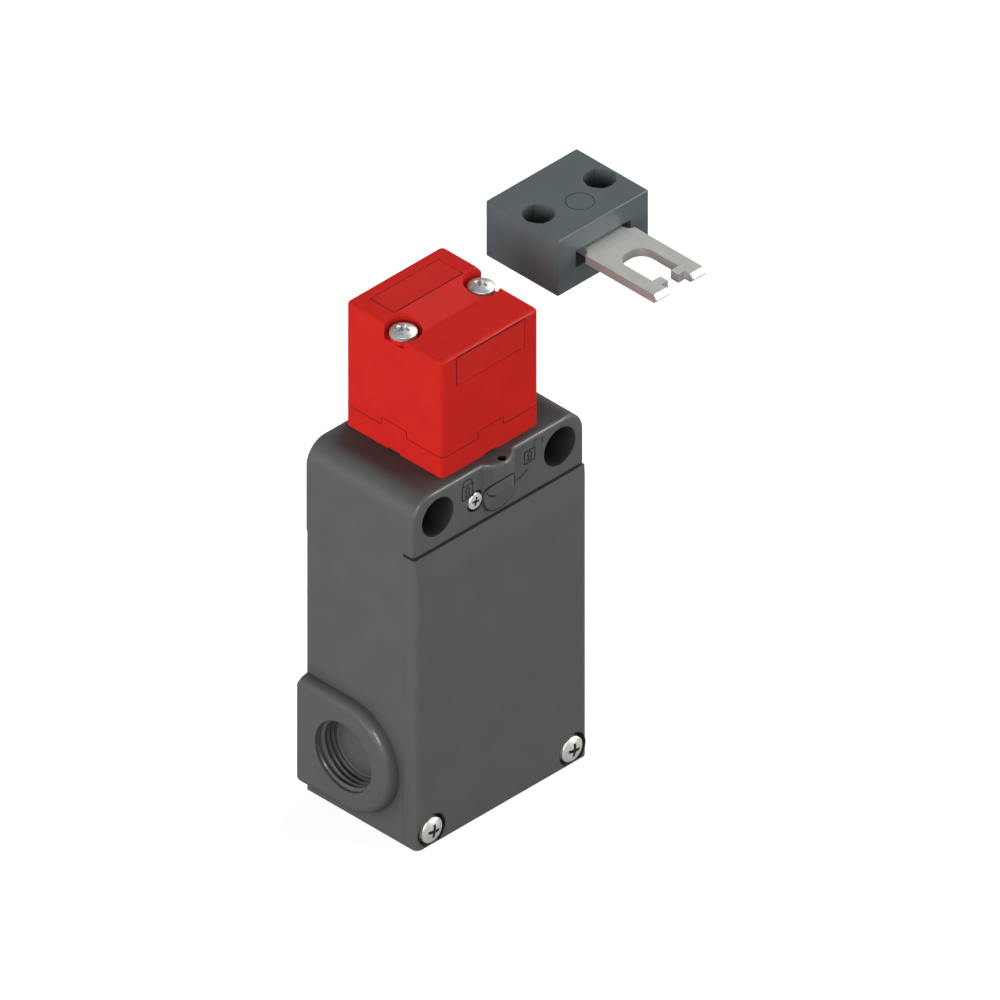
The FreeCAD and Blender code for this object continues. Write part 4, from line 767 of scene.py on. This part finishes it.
def bulgeHollow(name, side):
    # a closed strip that rounds the inner corner between the column and the flat, above the dial
    values = bulgeValues
    steps = values["steps"]
    radius = dialValues["radius"] + dialValues["gap"]
    flat = values["top"] - values["round"]
    mesh = bmesh.new()
    grids = []
    for outside in (True, False):
        grid = []
        for step in range(steps + 1):
            x = values["inner"] + (values["outer"] - values["inner"]) * step / steps
            stand = softMax(columnReach(x), 0, values["soften"])
            stand -= values["dip"] if step in (0, steps) else 0
            low = dialValues["height"] + math.sqrt(max(0, radius ** 2 - x * x))
            column = []
            for z in [low, flat] + [flat + values["round"] * share for share in values["tucks"]]:
                over = max(0, z - values["top"] + values["round"])
                back = values["round"] - math.sqrt(max(0, values["round"] ** 2 - over ** 2))
                y = values["plane"] - stand + back if outside else values["plane"] + values["back"] + back
                column.append(mesh.verts.new(point(side * x, y, z)))
            grid.append(column)
        grids.append(grid)
    front, rear = grids
    count = len(front[0])
    for grid in grids:
        for one, two in zip(grid, grid[1:]):
            for level in range(count - 1):
                mesh.faces.new((one[level], two[level], two[level + 1], one[level + 1]))
    for end in (0, steps):
        for level in range(count - 1):
            mesh.faces.new((front[end][level], front[end][level + 1],
                            rear[end][level + 1], rear[end][level]))
    for level in (0, count - 1):
        for one, two, three, four in zip(front, front[1:], rear[1:], rear):
            mesh.faces.new((one[level], two[level], three[level], four[level]))
    bmesh.ops.recalc_face_normals(mesh, faces=mesh.faces)
    settle(objectFrom(mesh, name), "base", housingPlastic, values["smooth"])


def dialLine(name, points, closed):
    # every point of these lines has its own width; the rim line paints the shade in the gap round the dial
    values = dialValues
    line = ribbon(name, [(points, closed)], values["rimThin"], -values["sunk"], values["rise"], dialSurface)
    settle(line, "dial", markShade)


def dialRim():
    # painted shade of the gap round the dial: the line is wider on the upper part, where the dial meets the
    # column
    values = dialValues
    points = []
    for step in range(values["rimSteps"]):
        turn = math.radians(step * 360 / values["rimSteps"])
        wide = values["rimWide"] if math.sin(turn) > values["rimTurn"] else values["rimThin"]
        across, up = values["rim"] * math.cos(turn), values["rim"] * math.sin(turn)
        points.append((across, values["height"] + up, wide))
    return points


for side, word in sides:
    bulgeHollow("bulgeHollow" + word, side)
dialLine("dialRimLine", dialRim(), True)
dialLine("dialPointer", dialValues["pointer"], False)
print("stage 7: bulge and dial")


# red head: painted shade in the seam round the collar and along the edges of both key entries, and dark
# slabs painting the shade in the pry notches

headValues = {"half": 15.875, "centre": 1.7, "corner": 1.4, "front": -14.175, "top": 132.9,
              "seamLow": 103.76, "seamHigh": 105.73, "tab": 4.13, "seamWidth": 0.2, "seamEnd": 0.001,
              "cornerSteps": 6, "sunk": 0.3, "rise": 0.012}
entryValues = {"half": 11.24, "frontLow": 122.06, "frontHigh": 130.14, "frontWidth": 0.24,
               "topFront": 6.16, "topRear": 14.24, "topWidth": 0.2, "topHook": 1}
pryValues = {"half": 1.98, "low": 98.0, "high": 98.37, "depth": 0.55, "mouth": 0.08}
sideLength = 2 * (headValues["half"] - headValues["corner"])
cornerLength = math.pi / 2 * headValues["corner"]
lapLength = sideLength + cornerLength


def roundHead(distance, z, height):
    # distance runs round the head from the front left corner; height stands out of its wall
    side, along = int(distance // lapLength), distance % lapLength
    flat = headValues["half"] - headValues["corner"]
    if along <= sideLength:
        spot = Vector((along - flat, -headValues["half"] - height))
    else:
        turn = (along - sideLength) / headValues["corner"] - math.pi / 2
        reach = headValues["corner"] + height
        spot = Vector((flat + reach * math.cos(turn), -flat + reach * math.sin(turn)))
    spot = Matrix.Rotation(math.pi / 2 * side, 2) @ spot
    return point(spot.x, spot.y + headValues["centre"], z)


def leftWall(a, b, height):
    # surface coordinates are Y and Z, heights stand out of the head's left side
    return point(-headValues["half"] - height, a, b)


def headSeamLine():
    # painted shade in the seam: one dark line round the four walls, with a square tab in the middle of each
    low, high, tab = headValues["seamLow"], headValues["seamHigh"], headValues["tab"]
    path = []
    for side in range(4):
        begin = side * lapLength
        middle = begin + sideLength / 2
        path += [(begin, low), (middle - tab, low), (middle - tab, high), (middle + tab, high),
                 (middle + tab, low), (begin + sideLength, low)]
        path += [(begin + sideLength + cornerLength * step / headValues["cornerSteps"], low)
                 for step in range(1, headValues["cornerSteps"])]
    path.append((4 * lapLength - headValues["seamEnd"], low))
    seam = ribbon("headSeamLine", [(path, False)], headValues["seamWidth"], -headValues["sunk"],
                  headValues["rise"], roundHead)
    settle(seam, "base", seamShade)


def entryShade(name, path, width, place):
    # painted shade along the edges of a key entry
    edge = ribbon(name, [(path, False)], width, -headValues["sunk"], headValues["rise"], place)
    settle(edge, "base", seamShade)


def frontEntryShade():
    half, low, high = entryValues["half"], entryValues["frontLow"], entryValues["frontHigh"]
    entryShade("frontEntryShade", [(-half, low), (-half, high), (half, high)], entryValues["frontWidth"],
               frontAt(headValues["front"]))


def topEntryShade():
    half, near, far = entryValues["half"], entryValues["topFront"], entryValues["topRear"]
    path = [(-half, far), (-half, near), (half, near), (half, near + entryValues["topHook"])]
    entryShade("topEntryShade", path, entryValues["topWidth"], topAt(headValues["top"]))


def pryShade(name, middle, place):
    # painted shade: a dark slab fills the inside of a pry notch in the collar's lower edge
    half, low, high = pryValues["half"], pryValues["low"], pryValues["high"]
    outline = [(middle - half, low), (middle + half, low), (middle + half, high), (middle - half, high)]
    shade = slab(name, outline, -pryValues["depth"], -pryValues["mouth"], place)
    settle(shade, "base", markShade)


headSeamLine()
frontEntryShade()
pryShade("collarPryShade", 0, frontAt(headValues["front"]))
pryShade("collarPryShadeLeft", headValues["centre"], leftWall)
topEntryShade()
print("stage 8: head lines")


# cover: a thin foot closes each screw recess towards the bottom edge, and dark strips paint the shade in
# the screw recesses and the gap above the cover

footValues = {"across": 23, "low": 0.0, "high": 0.22, "halfLow": 1.95, "halfHigh": 2.3, "front": -18.0,
              "depth": 2.1}
shadeStripValues = {
    "width": 0.07, "mouth": 0.04,
    "cover": {"radius": 4.3, "height": 3.9, "plane": -18.0, "depth": 2.05, "clear": 0.1, "steps": 60},
    "lock": {"across": -7.6, "radius": 2.8, "height": 89.1, "plane": -16.8, "depth": 2.0, "end": 354,
             "steps": 59},
    "gap": {"half": 27.65, "front": -16.42, "round": 1.2, "rear": -13.6, "low": 82.0, "high": 82.6,
            "width": 0.5, "steps": 6},
}


def coverRecessFoot(name, side):
    values = footValues
    middle, low, high = side * values["across"], values["low"], values["high"]
    outline = [(middle - values["halfLow"], low), (middle + values["halfLow"], low),
               (middle + values["halfHigh"], high), (middle - values["halfHigh"], high)]
    foot = slab(name, outline, -values["depth"], 0, frontAt(values["front"]))
    settle(foot, "base", housingPlastic)


def recessShadeStrip(name, across, values, start, end, closed):
    # painted shade: a thin dark strip round the inside of a screw recess
    arc = arcPoints((across, values["height"]), values["radius"], values["radius"], start, end,
                    values["steps"])
    shadeStrip = ribbon(name, [(arc, closed)], shadeStripValues["width"], -values["depth"],
                    -shadeStripValues["mouth"], frontAt(values["plane"]))
    settle(shadeStrip, "base", markShade)


def coverRecessShadeStrip(name, side):
    # the painted shade strip is open at the bottom, where the foot closes the recess
    values = shadeStripValues["cover"]
    drop = values["height"] - footValues["high"] - values["clear"]
    past = math.degrees(math.asin(drop / values["radius"]))
    recessShadeStrip(name, side * footValues["across"], values, -past, 180 + past, False)


def coverGapShade():
    # painted shade: a dark strip in the gap above the cover, round its two front corners
    values = shadeStripValues["gap"]
    half, front, bend, steps = values["half"], values["front"], values["round"], values["steps"]
    path = [(-half, values["rear"])]
    path += arcPoints((-half + bend, front + bend), bend, bend, 180, 270, steps)
    path += arcPoints((half - bend, front + bend), bend, bend, 270, 360, steps)
    path.append((half, values["rear"]))
    shade = ribbon("coverGapShade", [(path, False)], values["width"], values["low"], values["high"],
                   topAt(0))
    settle(shade, "base", markShade)


for side, word in sides:
    coverRecessFoot("coverRecessFoot" + word, side)
for side, word in sides:
    coverRecessShadeStrip("coverRecessShadeStrip" + word, side)
lockShadeStripValues = shadeStripValues["lock"]
recessShadeStrip("lockRecessShadeStrip", lockShadeStripValues["across"], lockShadeStripValues, 0, lockShadeStripValues["end"], True)
coverGapShade()


# conduit bosses: the soft rounded edge between each face and the housing's side

bossValues = {"centre": (2.9, 18.4), "rear": 17.7, "side": 28.0, "steps": 48, "smooth": 40,
              "profile": ((14.2, -0.3), (14.93, -0.3), (15.0, 0.5), (14.98, 1.2), (14.85, 1.85),
                          (14.6, 2.4), (14.25, 2.85), (13.85, 3.15), (13.45, 3.3), (13.0, 3.352),
                          (12.9, 3.2), (13.2, 2.6))}


def bossEdge(name, side):
    # a closed section swept along the top line, round the front and back along the bottom line
    values = bossValues
    middle, height = values["centre"]
    stations = [(values["rear"], 0, 1)]
    for step in range(values["steps"] + 1):
        angle = math.pi / 2 + math.pi * step / values["steps"]
        stations.append((middle, math.cos(angle), math.sin(angle)))
    stations.append((values["rear"], 0, -1))
    mesh = bmesh.new()
    sections = []
    for y, outY, outZ in stations:
        section = []
        for reach, rise in values["profile"]:
            spot = point(side * (values["side"] + rise), y + outY * reach, height + outZ * reach)
            section.append(mesh.verts.new(spot))
        sections.append(section)
    joinSections(mesh, sections)
    bmesh.ops.recalc_face_normals(mesh, faces=mesh.faces)
    settle(objectFrom(mesh, name), "base", housingPlastic, values["smooth"])


for side, word in sides:
    bossEdge("bossEdge" + word, side)


# actuator block: a plain moulded ring on its top

ringValues = {"centre": (51.5, 8.1), "radius": 3.4, "top": 132.2, "line": 0.2, "sunk": 0.2, "rise": 0.02,
              "end": 355, "steps": 71}
ringPath = arcPoints(ringValues["centre"], ringValues["radius"], ringValues["radius"], 0, ringValues["end"],
                     ringValues["steps"])
blockRing = ribbon("blockRing", [(ringPath, True)], ringValues["line"], -ringValues["sunk"],
                   ringValues["rise"], topAt(ringValues["top"]))
settle(blockRing, "actuator", markShade)
print("stage 9: cover and actuator details")
